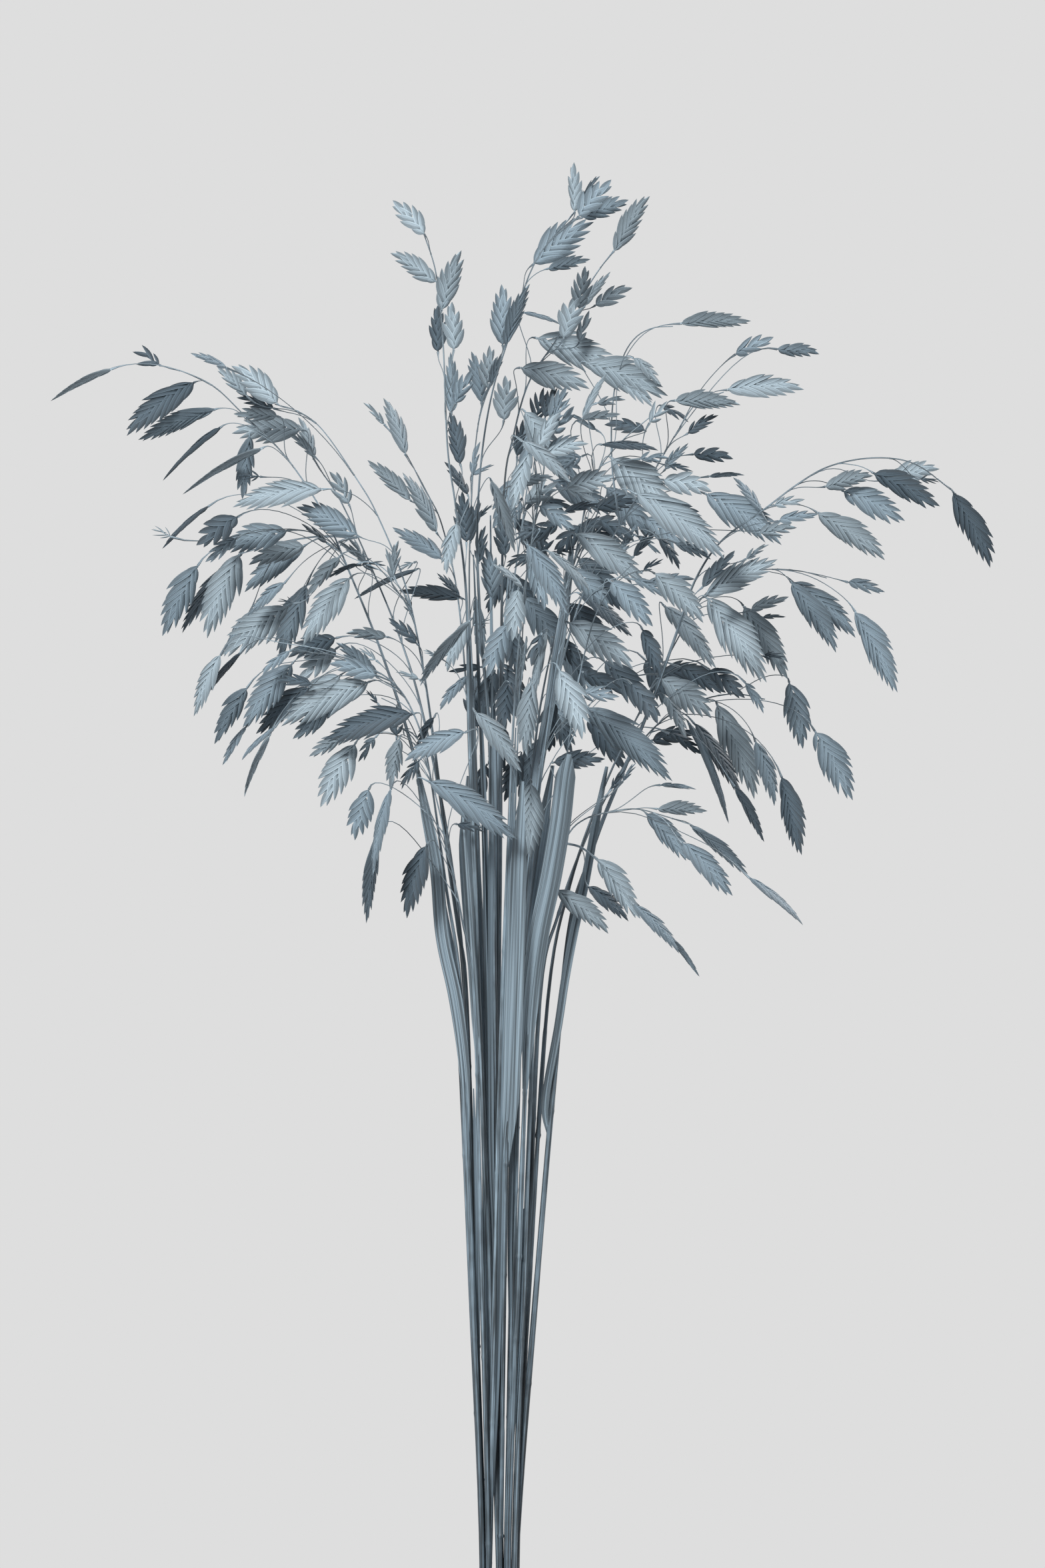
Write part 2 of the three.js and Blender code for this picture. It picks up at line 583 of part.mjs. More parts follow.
function nearestPoint(line, x, z) {
  return pointAt(line, nearestDistance(line, x, z).distance).point;
}

// A branch starts inside its stem and leans back a little with each of its points
function branchLine(line, branch) {
  const foot = nearestPoint(line, ...branch[0]);
  return branch.map(([x, z], index) => vector(x, foot.y + BRANCH_BACK_STEP * index, z));
}

function culmRadius(share) {
  return CULM_RADIUS_ROOT + (CULM_RADIUS_TIP - CULM_RADIUS_ROOT) * share ** TAPER_POWER;
}

// A four-sided stem along a line, thinning from its first share of the taper to its end
function culmSolid(line, first) {
  const directions = tangents(line);
  const rings = line.map((point, index) => {
    const radius = culmRadius(first + (1 - first) * (index / (line.length - 1)));
    const side = square(X_AXIS, directions[index]);
    const front = vector(0, 0, 0).crossVectors(side, directions[index]);
    return [[side, radius], [front, radius], [side, -radius], [front, -radius]]
      .map((move) => along(point, move));
  });
  return skin(rings);
}

// The frame of a spikelet: its axis, the normal of its broad face and its side
function spikeletFrame(base, tip, breadthSeen, turnSign) {
  const axis = tip.clone().sub(base);
  const length = axis.length();
  axis.normalize();
  const breadth = Math.max(breadthSeen, BREADTH_BASE + BREADTH_PER_LENGTH * length);
  const turn = turnSign * Math.max(LEAST_TURN, Math.acos(Math.min(1, breadthSeen / breadth)));
  const normal = square(FRONT, axis).applyAxisAngle(axis, turn);
  const side = vector(0, 0, 0).crossVectors(axis, normal);
  const halfThickness = HALF_THICKNESS_BASE + HALF_THICKNESS_PER_BREADTH * breadth;
  return { axis, normal, side, length, breadth, halfThickness };
}

// Share of full breadth along the spikelet: it swells early and narrows to its tip
function breadthShare(share) {
  return Math.sin(Math.PI * Math.min(1, 0.14 + share * 0.78) ** 0.8) ** 0.75;
}

function floretsPerSide(length) {
  if (length < SHORT_SPIKELET) {
    return 2;
  }
  return length < MEDIUM_SPIKELET ? 3 : 4;
}

// The pedicel leaves along its culm and arches over to run into the spikelet's axis
function pedicelLine(foot, direction, base, axis) {
  const span = base.distanceTo(foot);
  const towards = base.clone().sub(foot).normalize();
  const leaving = along(direction, [towards, PEDICEL_TURN_OUT]).normalize();
  const curve = new THREE.CubicBezierCurve3(
    foot,
    along(foot, [leaving, PEDICEL_RISE * span]),
    along(base, [axis, -PEDICEL_RUN_IN * span]),
    base,
  );
  return curve.getPoints(span > LONG_PEDICEL ? 3 : 2);
}

// One pedicel and spikelet as a single closed body: a three-sided stalk that opens
// into a keeled plate, whose outline runs from floret tip to floret tip
function spikeletSolid(pedicel, frame) {
  const { axis, normal, side, length, breadth, halfThickness } = frame;
  const base = pedicel[pedicel.length - 1];
  const bend = square(UP, axis);
  const place = (share, across, out) => along(
    base,
    [axis, share * length],
    [bend, SPIKELET_BOW * length * 4 * share * (1 - share)],
    [side, across * breadth / 2],
    [normal, out],
  );
  const points = [];
  const triangles = [];
  const add = (point) => points.push(point) - 1;

  // Stalk, its section carried back from the spikelet's base to its foot
  const directions = tangents(pedicel);
  let front = normal.clone();
  const rings = [];
  for (let index = pedicel.length - 1; index >= 0; index -= 1) {
    const forward = index === pedicel.length - 1 ? axis : directions[index];
    front = square(front, forward);
    const across = vector(0, 0, 0).crossVectors(forward, front);
    const radius = index === 0 ? PEDICEL_ROOT_RADIUS : PEDICEL_RADIUS;
    rings.unshift([
      add(along(pedicel[index], [front, radius])),
      add(along(pedicel[index], [front, -radius / 2], [across, -radius])),
      add(along(pedicel[index], [front, -radius / 2], [across, radius])),
    ]);
  }
  triangles.push([rings[0][0], rings[0][1], rings[0][2]]);
  for (let ring = 0; ring + 1 < rings.length; ring += 1) {
    for (let corner = 0; corner < 3; corner += 1) {
      const next = (corner + 1) % 3;
      const [a, b] = [rings[ring][corner], rings[ring][next]];
      const [c, d] = [rings[ring + 1][next], rings[ring + 1][corner]];
      triangles.push([a, c, b], [a, d, c]);
    }
  }

  // Keels, one on each face, and the tip that all florets lead up to
  const florets = floretsPerSide(length);
  const pitch = 1 / (florets + FLORET_TIP_ROOM);
  const [baseFront, baseLeft, baseRight] = rings[rings.length - 1];
  const tip = add(place(1, 0, 0));
  const fronts = [baseFront];
  const backs = [null];
  for (let floret = 1; floret < florets; floret += 1) {
    const share = floret * pitch;
    const out = halfThickness * Math.min(1, KEEL_TAPER * (1 - share));
    fronts.push(add(place(share, 0, out)));
    backs.push(add(place(share, 0, -out)));
  }
  fronts.push(tip);
  backs.push(tip);

  // Florets, half a step further on along one edge than the other
  for (const edge of [-1, 1]) {
    const start = edge < 0 ? baseLeft : baseRight;
    let notch = start;
    for (let floret = 0; floret < florets; floret += 1) {
      const share = (floret + FLORET_REACH + (edge > 0 ? FLORET_OFFSET : 0)) * pitch;
      const reach = breadthShare(share);
      const point = add(place(share, edge * reach, 0));
      const last = floret === florets - 1;
      const nextNotch = last
        ? tip
        : add(place(share + NOTCH_STEP * pitch, edge * reach * NOTCH_DEPTH, 0));
      for (const [face, keels] of [[1, fronts], [-1, backs]]) {
        const faces = keels[floret] === null
          ? [[notch, point, keels[floret + 1]]]
          : [[keels[floret], notch, point], [keels[floret], point, keels[floret + 1]]];
        if (!last) {
          faces.push([keels[floret + 1], point, nextNotch]);
        }
        const turned = edge * face > 0;
        triangles.push(...faces.map(([a, b, c]) => (turned ? [a, b, c] : [a, c, b])));
      }
      notch = nextNotch;
    }
  }
  triangles.push([baseLeft, backs[1], baseRight]);
  return solidFrom(points, triangles);
}

// A leaf's line: it starts inside its stem and lifts clear of it
function leafLine(line, leaf) {
  return leaf.points.map(([x, z], index) => {
    const stemAt = nearestPoint(line, x, z);
    return index === 0 ? stemAt : vector(x, stemAt.y + leaf.side * LEAF_LIFT * index, z);
  });
}

function leafSolid(leaf, points) {
  const directions = tangents(points);
  const rings = points.map((point, index) => {
    const half = leaf.points[index][2] / 2;
    const side = square(X_AXIS, directions[index]);
    const front = vector(0, 0, 0).crossVectors(side, directions[index]);
    const thick = LEAF_THICKNESS / 2;
    const corners = [[half, thick], [-half, thick], [-half, -thick], [half, -thick]];
    return corners.map(([across, out]) => along(point, [side, across], [front, out]));
  });
  return skin(rings);
}

// Boxes round every piece, so that each spikelet settles at a depth that is free
function boxRound(start, end, side, normal, halfSide, halfNormal, owner, kind) {
  const axis = end.clone().sub(start);
  const half = axis.length() / 2;
  const centre = start.clone().add(end).multiplyScalar(0.5);
  const halves = [half + CLEARANCE, halfSide + CLEARANCE, halfNormal + CLEARANCE];
  return {
    centre,
    axes: [axis.normalize(), side, normal],
    halves,
    reach: Math.hypot(...halves),
    owner,
    kind,
  };
}

function boxesAlong(points, radius, owner, kind) {
  return points.slice(1).map((end, index) => {
    const axis = end.clone().sub(points[index]).normalize();
    const side = square(Math.abs(axis.x) < 0.9 ? X_AXIS : UP, axis);
    const normal = vector(0, 0, 0).crossVectors(axis, side);
    return boxRound(points[index], end, side, normal, radius, radius, owner, kind);
  });
}

function apart(first, second) {
  const between = second.centre.clone().sub(first.centre);
  if (between.length() > first.reach + second.reach) {
    return true;
  }
  const lines = [...first.axes, ...second.axes];
  for (const a of first.axes) {
    for (const b of second.axes) {
      const cross = vector(0, 0, 0).crossVectors(a, b);
      if (cross.lengthSq() > 1e-6) {
        lines.push(cross.normalize());
      }
    }
  }
  return lines.some((line) => {
    const span = (box) => box.axes.reduce(
      (sum, axis, index) => sum + Math.abs(axis.dot(line)) * box.halves[index],
      0,
    );
    return Math.abs(between.dot(line)) > span(first) + span(second);
  });
}

// Stalks of one culm may touch, and where room is short a stalk may pass through a
// spikelet of its own culm, because both are one piece
function mayTouch(first, second, shortOfRoom) {
  const stalks = [first, second].filter((box) => box.kind === 'stalk').length;
  return first.owner === second.owner && stalks >= (shortOfRoom ? 1 : 2);
}

function allClear(boxes, placed, shortOfRoom) {
  return boxes.every((box) => placed.every(
    (other) => mayTouch(box, other, shortOfRoom) || apart(box, other),
  ));
}

// A spikelet's pedicel and frame at one depth of its base
function spikeletAt(row, number, lines, depth) {
  const [baseX, baseZ, tipX, tipZ, breadthSeen] = row;
  const near = lines
    .map((line) => ({ line, ...nearestDistance(line, baseX, baseZ) }))
    .reduce((best, option) => (option.gap < best.gap ? option : best));
  const down = FOOT_DROP_PER_GAP * near.gap + FOOT_DROP;
  const { point: foot, direction } = pointAt(near.line, Math.max(0, near.distance - down));
  const swing = Math.sin(LEAN_STEP * number + 1);
  const lean = Math.tan(THREE.MathUtils.degToRad(LEAN_DEGREES) * swing);
  const seen = Math.hypot(tipX - baseX, tipZ - baseZ);
  const base = vector(baseX, foot.y + depth, baseZ);
  const tip = vector(tipX, foot.y + depth + lean * seen, tipZ);
  const frame = spikeletFrame(base, tip, breadthSeen, number % 2 === 0 ? 1 : -1);
  return { pedicel: pedicelLine(foot, direction, base, frame.axis), frame, near };
}

// The depth that a spikelet would have with all room to itself, off its stem's depth
function wantedDepth(row, number, gap) {
  const spread = DEPTH_SPREAD + DEPTH_SPREAD_PER_GAP * Math.min(WIDEST_GAP, gap);
  return TONE_DEPTH[row[5]] + spread * Math.sin(GOLDEN_TURN * number);
}

function settle(culm, row, number, lines, placed) {
  const wanted = wantedDepth(row, number, spikeletAt(row, number, lines, 0).near.gap);
  for (let attempt = 0; attempt < 2 * DEPTH_TRIES; attempt += 1) {
    const shortOfRoom = attempt >= DEPTH_TRIES;
    const turn = attempt % DEPTH_TRIES;
    const step = (turn % 2 === 0 ? 1 : -1) * Math.ceil(turn / 2) * DEPTH_STEP;
    const { pedicel, frame } = spikeletAt(row, number, lines, wanted + step);
    const base = pedicel[pedicel.length - 1];
    const plate = boxRound(
      base,
      along(base, [frame.axis, frame.length]),
      frame.side,
      frame.normal,
      frame.breadth / 2,
      frame.halfThickness + SPIKELET_BOW * frame.length / 2,
      culm.name,
      'spikelet',
    );
    const stalk = boxesAlong(pedicel, PEDICEL_RADIUS, culm.name, 'stalk');
    if (allClear([plate, ...stalk], placed, shortOfRoom)) {
      placed.push(plate, ...stalk);
      return spikeletSolid(pedicel, frame);
    }
  }
  throw new Error(`no free depth for spikelet ${number} of ${culm.name}`);
}

// A round body turned from its profile of [radius, z]
function turnedSolid(profile) {
  const points = profile.map(([radius, z]) => new THREE.Vector2(radius, z));
  return solidFromGeometry(new THREE.LatheGeometry(points, POT_SIDES).rotateX(Math.PI / 2));
}

function potSolid() {
  const bandFoot = POT_HEIGHT - RIM_BAND_HEIGHT;
  const belly = POT_HEIGHT / 2;
  const spread = POT_RIM_RADIUS - RIM_BAND_STEP - POT_BASE_RADIUS;
  const wallAt = (z) => POT_BASE_RADIUS + spread * (z / bandFoot) ** WALL_SWELL;
  return turnedSolid([
    [0, 0],
    [POT_BASE_RADIUS - RIM_EDGE, 0],
    [POT_BASE_RADIUS, RIM_EDGE],
    [wallAt(belly), belly],
    [wallAt(bandFoot), bandFoot],
    [POT_RIM_RADIUS, bandFoot + RIM_EDGE],
    [POT_RIM_RADIUS, POT_HEIGHT - RIM_EDGE],
    [POT_RIM_RADIUS - RIM_EDGE, POT_HEIGHT],
    [INNER_RIM_RADIUS, POT_HEIGHT],
    [INNER_BASE_RADIUS, POT_FLOOR],
    [0, POT_FLOOR],
  ]);
}

function soilSolid() {
  const slope = (INNER_RIM_RADIUS - INNER_BASE_RADIUS) / (POT_HEIGHT - POT_FLOOR);
  const radiusAt = (z) => INNER_BASE_RADIUS + (z - POT_FLOOR) * slope - 2 * GAP;
  const foot = POT_FLOOR + GAP;
  const shoulder = SOIL_TOP - SOIL_EDGE_DROP;
  const filling = turnedSolid([
    [0, foot],
    [radiusAt(foot), foot],
    [radiusAt(shoulder), shoulder],
    [radiusAt(shoulder) - SOIL_EDGE_WIDTH, SOIL_TOP],
    [0, SOIL_TOP],
  ]);
  const holes = CULMS.map(({ waist: [x, y] }) => {
    const hole = new THREE.CylinderGeometry(HOLE_RADIUS, HOLE_RADIUS, HOLE_LENGTH, HOLE_SIDES);
    hole.rotateX(Math.PI / 2);
    hole.translate(x * ROOT_FLARE, y * ROOT_FLARE, HOLE_BOTTOM + HOLE_LENGTH / 2);
    return solidFromGeometry(hole);
  });
  return filling.subtract(Manifold.union(holes));
}

// Materials
const STONEWARE = new THREE.MeshStandardMaterial({ color: 0x8f989d, roughness: 0.7 });
const SOIL = new THREE.MeshStandardMaterial({ color: 0x3a3632, roughness: 1 });
const STRAW = new THREE.MeshStandardMaterial({ color: 0x8497a4, roughness: 0.65 });

const plant = new THREE.Group();

function addNode(name, solid, material) {
  const mesh = new THREE.Mesh(geometryFrom(solid), material);
  mesh.name = name;
  plant.add(mesh);
}

addNode('pot', potSolid(), STONEWARE);
addNode('soil', soilSolid(), SOIL);

// All culms and leaves are laid out first, then the spikelets settle between them
const placed = [];
const laidOut = CULMS.map((culm) => {
  const line = culmLine(culm);
  const branches = (culm.branches ?? []).map((branch) => branchLine(line, branch));
  const leaves = (culm.leaves ?? []).map((leaf) => ({ leaf, points: leafLine(line, leaf) }));
  placed.push(...boxesAlong(line, STEM_BOX_HALF, culm.name, 'stalk'));
  branches.forEach((branch) => {
    placed.push(...boxesAlong(branch, BRANCH_BOX_HALF, culm.name, 'stalk'));
  });
  leaves.forEach(({ leaf, points }) => {
    points.slice(1).forEach((end, index) => {
      const axis = end.clone().sub(points[index]).normalize();
      const side = square(X_AXIS, axis);
      const normal = vector(0, 0, 0).crossVectors(axis, side);
      const half = Math.max(leaf.points[index][2], leaf.points[index + 1][2]) / 2;
      const box = boxRound(
        points[index],
        end,
        side,
        normal,
        half,
        LEAF_BOX_HALF,
        culm.name,
        'stalk',
      );
      placed.push(box);
    });
  });
  return { culm, line, branches, leaves };
});

for (const { culm, line, branches, leaves } of laidOut) {
  const pieces = [culmSolid(line, 0)];
  branches.forEach((branch) => pieces.push(culmSolid(branch, BRANCH_START)));
  leaves.forEach(({ leaf, points }) => pieces.push(leafSolid(leaf, points)));
  culm.spikelets.forEach((row, index) => {
    pieces.push(settle(culm, row, index, [line, ...branches], placed));
  });
  addNode(culm.name, Manifold.union(pieces).simplify(SEAM_TOLERANCE), STRAW);
}

export default plant;
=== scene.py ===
"""Potted northern sea oats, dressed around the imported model.

Each culm becomes a thin stem with swollen nodes, wiry pedicels and flat spikelets of
overlapping keeled florets. Lengths are millimetres in the part's frame, and shares run
from 0 to 1 along a line.
"""

import math

import bpy
import numpy as np
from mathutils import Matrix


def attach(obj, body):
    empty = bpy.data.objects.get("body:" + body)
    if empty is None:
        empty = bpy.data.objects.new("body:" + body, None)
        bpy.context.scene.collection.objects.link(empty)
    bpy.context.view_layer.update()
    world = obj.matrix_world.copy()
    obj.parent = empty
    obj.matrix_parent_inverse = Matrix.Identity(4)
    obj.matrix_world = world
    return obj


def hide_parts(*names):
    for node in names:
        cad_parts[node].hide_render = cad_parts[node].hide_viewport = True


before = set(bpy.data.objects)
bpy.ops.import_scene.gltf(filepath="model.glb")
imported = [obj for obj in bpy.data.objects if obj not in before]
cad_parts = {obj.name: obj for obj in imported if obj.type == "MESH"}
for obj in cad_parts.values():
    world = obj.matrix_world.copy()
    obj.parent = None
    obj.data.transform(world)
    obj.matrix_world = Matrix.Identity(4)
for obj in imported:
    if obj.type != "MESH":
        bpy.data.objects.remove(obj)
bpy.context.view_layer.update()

MM = 0.001
TURN = 2 * math.pi
X_AXIS = np.array((1.0, 0.0, 0.0))
FRONT = np.array((0.0, -1.0, 0.0))
UP = np.array((0.0, 0.0, 1.0))
random = np.random.default_rng(41)

# Camera in metres: level with the middle of the photograph and far off
CAMERA_DISTANCE = 6.0
VIEW_CENTRE_X = 0.0085
VIEW_CENTRE_Z = 0.459
VIEW_HEIGHT = 0.588
SENSOR = 36.0

camera_data = bpy.data.cameras.new("camera")
camera_data.sensor_width = SENSOR
camera_data.lens = SENSOR * CAMERA_DISTANCE / VIEW_HEIGHT
camera = bpy.data.objects.new("camera", camera_data)
camera.location = (VIEW_CENTRE_X, -CAMERA_DISTANCE, VIEW_CENTRE_Z)
camera.rotation_euler = (math.radians(90), 0, 0)
bpy.context.scene.collection.objects.link(camera)
bpy.context.scene.camera = camera

# Pot and soil, as in the part's source
POT_HEIGHT = 140
POT_BASE_RADIUS = 55
POT_RIM_RADIUS = 75
POT_WALL = 6
POT_FLOOR = 8
RIM_BAND_HEIGHT = 14
RIM_BAND_STEP = 2.5
SOIL_TOP = 128
GAP = 0.3

# Where the stems stand and how they spread, as in the part's source
HOLE_BOTTOM = 104
WAIST_Z = 165
ROOT_FLARE = 1.5
COLLAR_HEIGHT = 3
MIDDLE_ACROSS = 0.46
MIDDLE_UP = 0.5
DEPTH_REACH = 420
DEPTH_POWER = 2.4
BRANCH_START = 0.75
BRANCH_BACK_STEP = 2
LEAF_LIFT = 1.3
CURVE_STEPS = 6

# Pedicels. One leaves its stem below its spikelet, and lower the further it has to go.
FOOT_DROP = 4
FOOT_DROP_PER_GAP = 0.8
FOOT_DROP_PER_DEPTH = 0.8
PEDICEL_TURN_OUT = 0.45
PEDICEL_RISE = 0.4
PEDICEL_RUN_IN = 0.3
PEDICEL_SWAY = 0.02
PEDICEL_POINTS = 13
PEDICEL_RADII = ((0, 0.1, 0.8, 0.93, 1), (0.34, 0.17, 0.16, 0.33, 0.5))

# How a spikelet is turned, leans and bows, and where it hangs if no solid shows it
BREADTH_BASE = 3.2
BREADTH_PER_LENGTH = 0.27
LEAST_TURN = 0.12
SPIKELET_BOW = 0.04
SPIKELET_TWIST = 0.22
LEAN_DEGREES = 17
LEAN_STEP = 1.7
GOLDEN_TURN = 2.39996
# Light buds hang further forward and dark ones further back, where their painted shade belongs
TONE_DEPTH = (-5, 0, 5)
DEPTH_SPREAD = 3
DEPTH_SPREAD_PER_GAP = 0.45
WIDEST_GAP = 30

# Tones run from light to dark, partly the grass's own colour and partly painted shade on parts
# that lie in shade
L, M, D = range(3)

# The culms, from the photograph and in the words of the part's source: the waist
# over the soil, the depth of the tip, and the path as front-view points. A leaf adds its
# breadth to each point. Spikelets are base x, base z, tip x, tip z, breadth seen from the
# front, and tone. Buds are the smallest spikelets, which the solids leave out.
CULMS = {}


def add_culm(name, **culm):
    CULMS[name] = culm


add_culm(
    "culm_left_low", waist=(-6.5, -4.8), depth=-48,
    path=(
        (-14.5, 378), (-20, 420), (-27, 468), (-33, 487), (-40, 497), (-50, 503), (-62, 507),
        (-78, 508.5),
    ),
    leaf_side=-1,
    leaf=(
        (-11.5, 327, 3), (-13.2, 352, 4), (-16.5, 378, 5), (-21.5, 402, 5), (-23.6, 427, 5),
        (-27.3, 447, 4), (-31, 466, 1.2),
    ),
    spikelets=(
        (-104, 507, -114, 484, 6.5, L), (-97, 508, -110, 491.5, 2, D),
        (-78, 508.5, -88.5, 499.5, 4.5, M), (-77.3, 504, -95.5, 479.6, 11, M),
        (-71, 495, -91, 477.3, 9, D), (-94.4, 495, -106.4, 473.7, 7, M),
        (-95, 480.5, -103.6, 466, 3, M), (-48.8, 497, -81.8, 481, 13, L),
        (-59.5, 499.6, -78, 484, 9, L), (-62, 488, -77.3, 475.5, 8, M),
        (-83.6, 480, -96, 467.8, 2, M), (-86, 477, -95.5, 454, 2, L), (-70, 496, -84, 498, 5, D),
        (-46, 499, -61, 512, 6, M), (-46, 499.5, -63.5, 504, 7, M),
    ),
    buds=((-46, 505, -52.7, 509.6, 4, L),),
)
add_culm(
    "culm_left_high", waist=(-6.4, -1.6), depth=-22,
    path=(
        (-12.5, 378), (-15.5, 404), (-19.5, 431.5), (-24.5, 473), (-29, 504), (-35.5, 534),
        (-46, 560), (-53.5, 573), (-66, 591), (-75, 598), (-84, 600.8),
    ),
    spikelets=(
        (-83, 600.8, -100, 615.5, 10, L), (-94.5, 604, -106, 615, 6, L),
        (-101.5, 613.7, -115, 619, 3.5, M), (-84.6, 599.6, -98.5, 603.8, 5, D),
        (-66, 569, -100, 563, 10, L), (-53.5, 552, -76, 563, 10, M),
        (-65, 549.5, -74.5, 556.5, 3, D), (-60, 543.5, -72, 529, 5.5, L),
        (-56, 536, -74, 511, 11, L), (-53, 541.5, -65, 536, 2, D), (-40.5, 536, -38, 550, 5, L),
        (-39.5, 536.5, -43, 547.5, 3, L), (-31, 511.4, -41.8, 521, 5.5, D),
        (-42.3, 514, -57.5, 515.5, 5, L),
    ),
    buds=(
        (-52, 541, -42.5, 541, 6, D), (-33.6, 523, -36, 530.5, 4, D), (-30, 498, -39, 501, 3, L),
    ),
)
add_culm(
    "culm_left_long", waist=(-6.6, 1.6), depth=8,
    path=(
        (-16, 378), (-21, 414), (-31, 465), (-43.6, 506), (-57.3, 540.5), (-66, 560), (-76, 576),
        (-85, 587), (-96, 597.5), (-107, 608), (-118, 613.5), (-128.5, 616.5),
    ),
    spikelets=(
        (-128, 616.5, -138, 622, 10, D), (-146, 615, -169, 603, 2, L),
        (-115, 610, -140.5, 590, 11, D), (-107, 600, -136, 588, 7, M),
        (-105, 593, -127, 573, 2, D), (-89, 585, -119, 567.5, 2, L),
        (-110, 563.5, -127, 547.5, 2, D), (-94, 590, -96.5, 566, 7, M),
        (-74.5, 592, -101, 591.5, 12, L), (-83.5, 597, -100, 597.5, 6, L),
        (-98.5, 559, -113.5, 548, 10, D), (-80, 554.3, -105, 547, 11, M),
        (-99, 551, -110.5, 542, 6, M), (-49.5, 541, -61, 550.5, 3, L),
        (-50.5, 542, -57, 551.5, 4, L),
    ),
    buds=((-90, 574.3, -98.5, 574.5, 5, D), (-123.5, 551.8, -131, 555, 8, L)),
)
add_culm(
    "culm_left_back", waist=(-6.35, 4.8), depth=45,
    path=(
        (-13, 378), (-20, 440), (-29, 485), (-36.4, 510.5), (-47.3, 537.8), (-60, 565.5),
        (-68, 578), (-76, 592),
    ),
    branch=((-54, 552), (-68, 552.5), (-84, 550), (-98, 546)),
    spikelets=(
        (-70.5, 582, -76, 597.7, 5, L), (-70, 582.5, -80, 592, 4, L), (-57, 564.5, -64, 577, 8, L),
        (-74, 549, -95, 542, 8, L), (-74, 549, -97, 532, 9, M), (-114, 541.5, -127, 514.5, 10, M),
        (-98, 546, -120.5, 516, 7, D), (-98, 546, -111, 514, 13, L),
        (-81, 534.5, -95, 522, 4.5, M), (-79.5, 526, -104.5, 507, 14, L),
        (-94.5, 524, -104, 507, 3.5, M), (-73, 534.5, -83.5, 506, 10, M),
        (-32, 539.5, -55, 528.5, 2, D), (-61.8, 514, -80, 507, 9, D), (-62, 510, -76, 498, 9, L),
    ),
    buds=((-77.5, 527, -84, 528, 5, M), (-32.5, 542.5, -39, 539, 3.5, L)),
)
add_culm(
    "culm_left_front", waist=(-4.3, -6.4), depth=-75,
    path=((-9.5, 378), (-14, 408), (-19.5, 435), (-24, 455), (-29, 472), (-36, 486), (-44, 491)),
    spikelets=(
        (-32.3, 485, -65.5, 475, 11, D), (-57.3, 477, -71, 469, 6, L),
        (-54, 474, -66.4, 450, 12, L), (-46.4, 476.5, -52.7, 467, 5, M),
        (-48.8, 457, -54.5, 438, 10, M), (-37.3, 476, -40.5, 457, 6.5, L),
        (-40.5, 457, -47, 425, 4.5, M), (-45, 441, -49.5, 407, 5, M),
        (-12.7, 478.2, -35.5, 467.8, 8, M), (-24.5, 484, -31.4, 472.3, 4, D),
        (-30, 467.8, -36.8, 457, 5, D), (-26.4, 460, 6.4, 438, 11, M),
        (-27, 436.5, -35, 409, 9, D), (-16, 444, -5.5, 441, 3.5, D), (-38.5, 477, -38, 489, 8, D),
    ),
    buds=((-36.4, 479.6, -31.8, 475.5, 5, M), (-45.5, 489, -50, 494, 3, D)),
)
add_culm(
    "culm_upright_left", waist=(-0.3, -1.3), depth=-40,
    path=(
        (-8, 378), (-9.5, 430), (-11.5, 480), (-12.5, 530), (-16.5, 563), (-19.5, 585), (-21, 622),
        (-23.5, 648), (-28, 663),
    ),
    leaf_side=-1,
    leaf=((-6.9, 340, 2.5), (-9, 370, 3), (-11.5, 410, 3.4), (-14, 447, 1)),
    spikelets=(
        (-28, 663, -40, 675.5, 8, L), (-23.5, 645.5, -40.5, 656.5, 7.5, L),
        (-21.5, 635, -14.5, 657, 8.5, L), (-23, 620, -23, 638, 6.5, D),
        (-17, 620, -18, 638, 7.5, L), (-18, 597, -18.5, 620, 6, M), (-16.5, 600.5, -10, 613, 7, M),
        (-14.7, 578, -18.5, 597.5, 7, D), (-12, 567, -20.5, 579.5, 4.5, D),
        (-12.5, 549.5, -14.5, 568.5, 8, D), (-16, 556, -20, 537, 6.5, L),
        (-11, 520, -30, 495.5, 4, L), (-12, 519.5, -20, 501, 7, L),
    ),
    buds=((-23, 506.5, -28.6, 509, 3, L),),
)
add_culm(
    "culm_upright_centre", waist=(-4.2, 0), depth=15,
    path=((-6.5, 378), (-8, 430), (-9.5, 480), (-11.5, 530), (-10.5, 570), (-8.5, 592), (-6, 605)),
    spikelets=(
        (-7, 602.5, -10.5, 622, 7, M), (-4.5, 607.5, -3.5, 624, 8, L), (-3.5, 609, 1, 621, 4, M),
        (-10.5, 575.5, -7.5, 588, 3.5, M), (-3.3, 573, 5.5, 546, 5, L),
        (-7, 503, -19.5, 501, 3.5, D), (-12, 499.5, -22.6, 486.7, 4.5, M),
        (-8.5, 480, -9, 502, 10, D), (-9, 529, -7, 506, 5, M),
    ),
    buds=(
        (-10.5, 575, -2, 579, 2.5, M), (-8, 559, -2.5, 564, 2.5, M), (-9, 519, -3, 521, 5, M),
        (-5, 466, -9, 450, 7, D),
    ),
)
add_culm(
    "culm_back_left", waist=(-4.1, 3.2), depth=70,
    path=((-6, 378), (-8.5, 430), (-12, 485), (-16, 530), (-22, 557), (-27.5, 569), (-35.5, 584)),
    leaf_side=1,
    leaf=((-4.8, 332, 3), (-7, 366, 5), (-10.5, 404, 6), (-13, 436, 5), (-12, 462, 1.2)),
    spikelets=(
        (-36, 584, -44, 605.5, 6.5, L), (-44, 595.5, -52, 604, 3, L),
        (-24, 554, -37, 576.5, 6.5, L), (-34, 566.5, -50.5, 581.5, 6, L),
        (-22, 544, -41, 556, 6.5, M), (-15, 529.5, -38.5, 532, 6, D),
        (-15, 529.5, -24, 538.5, 4, D),
    ),
)
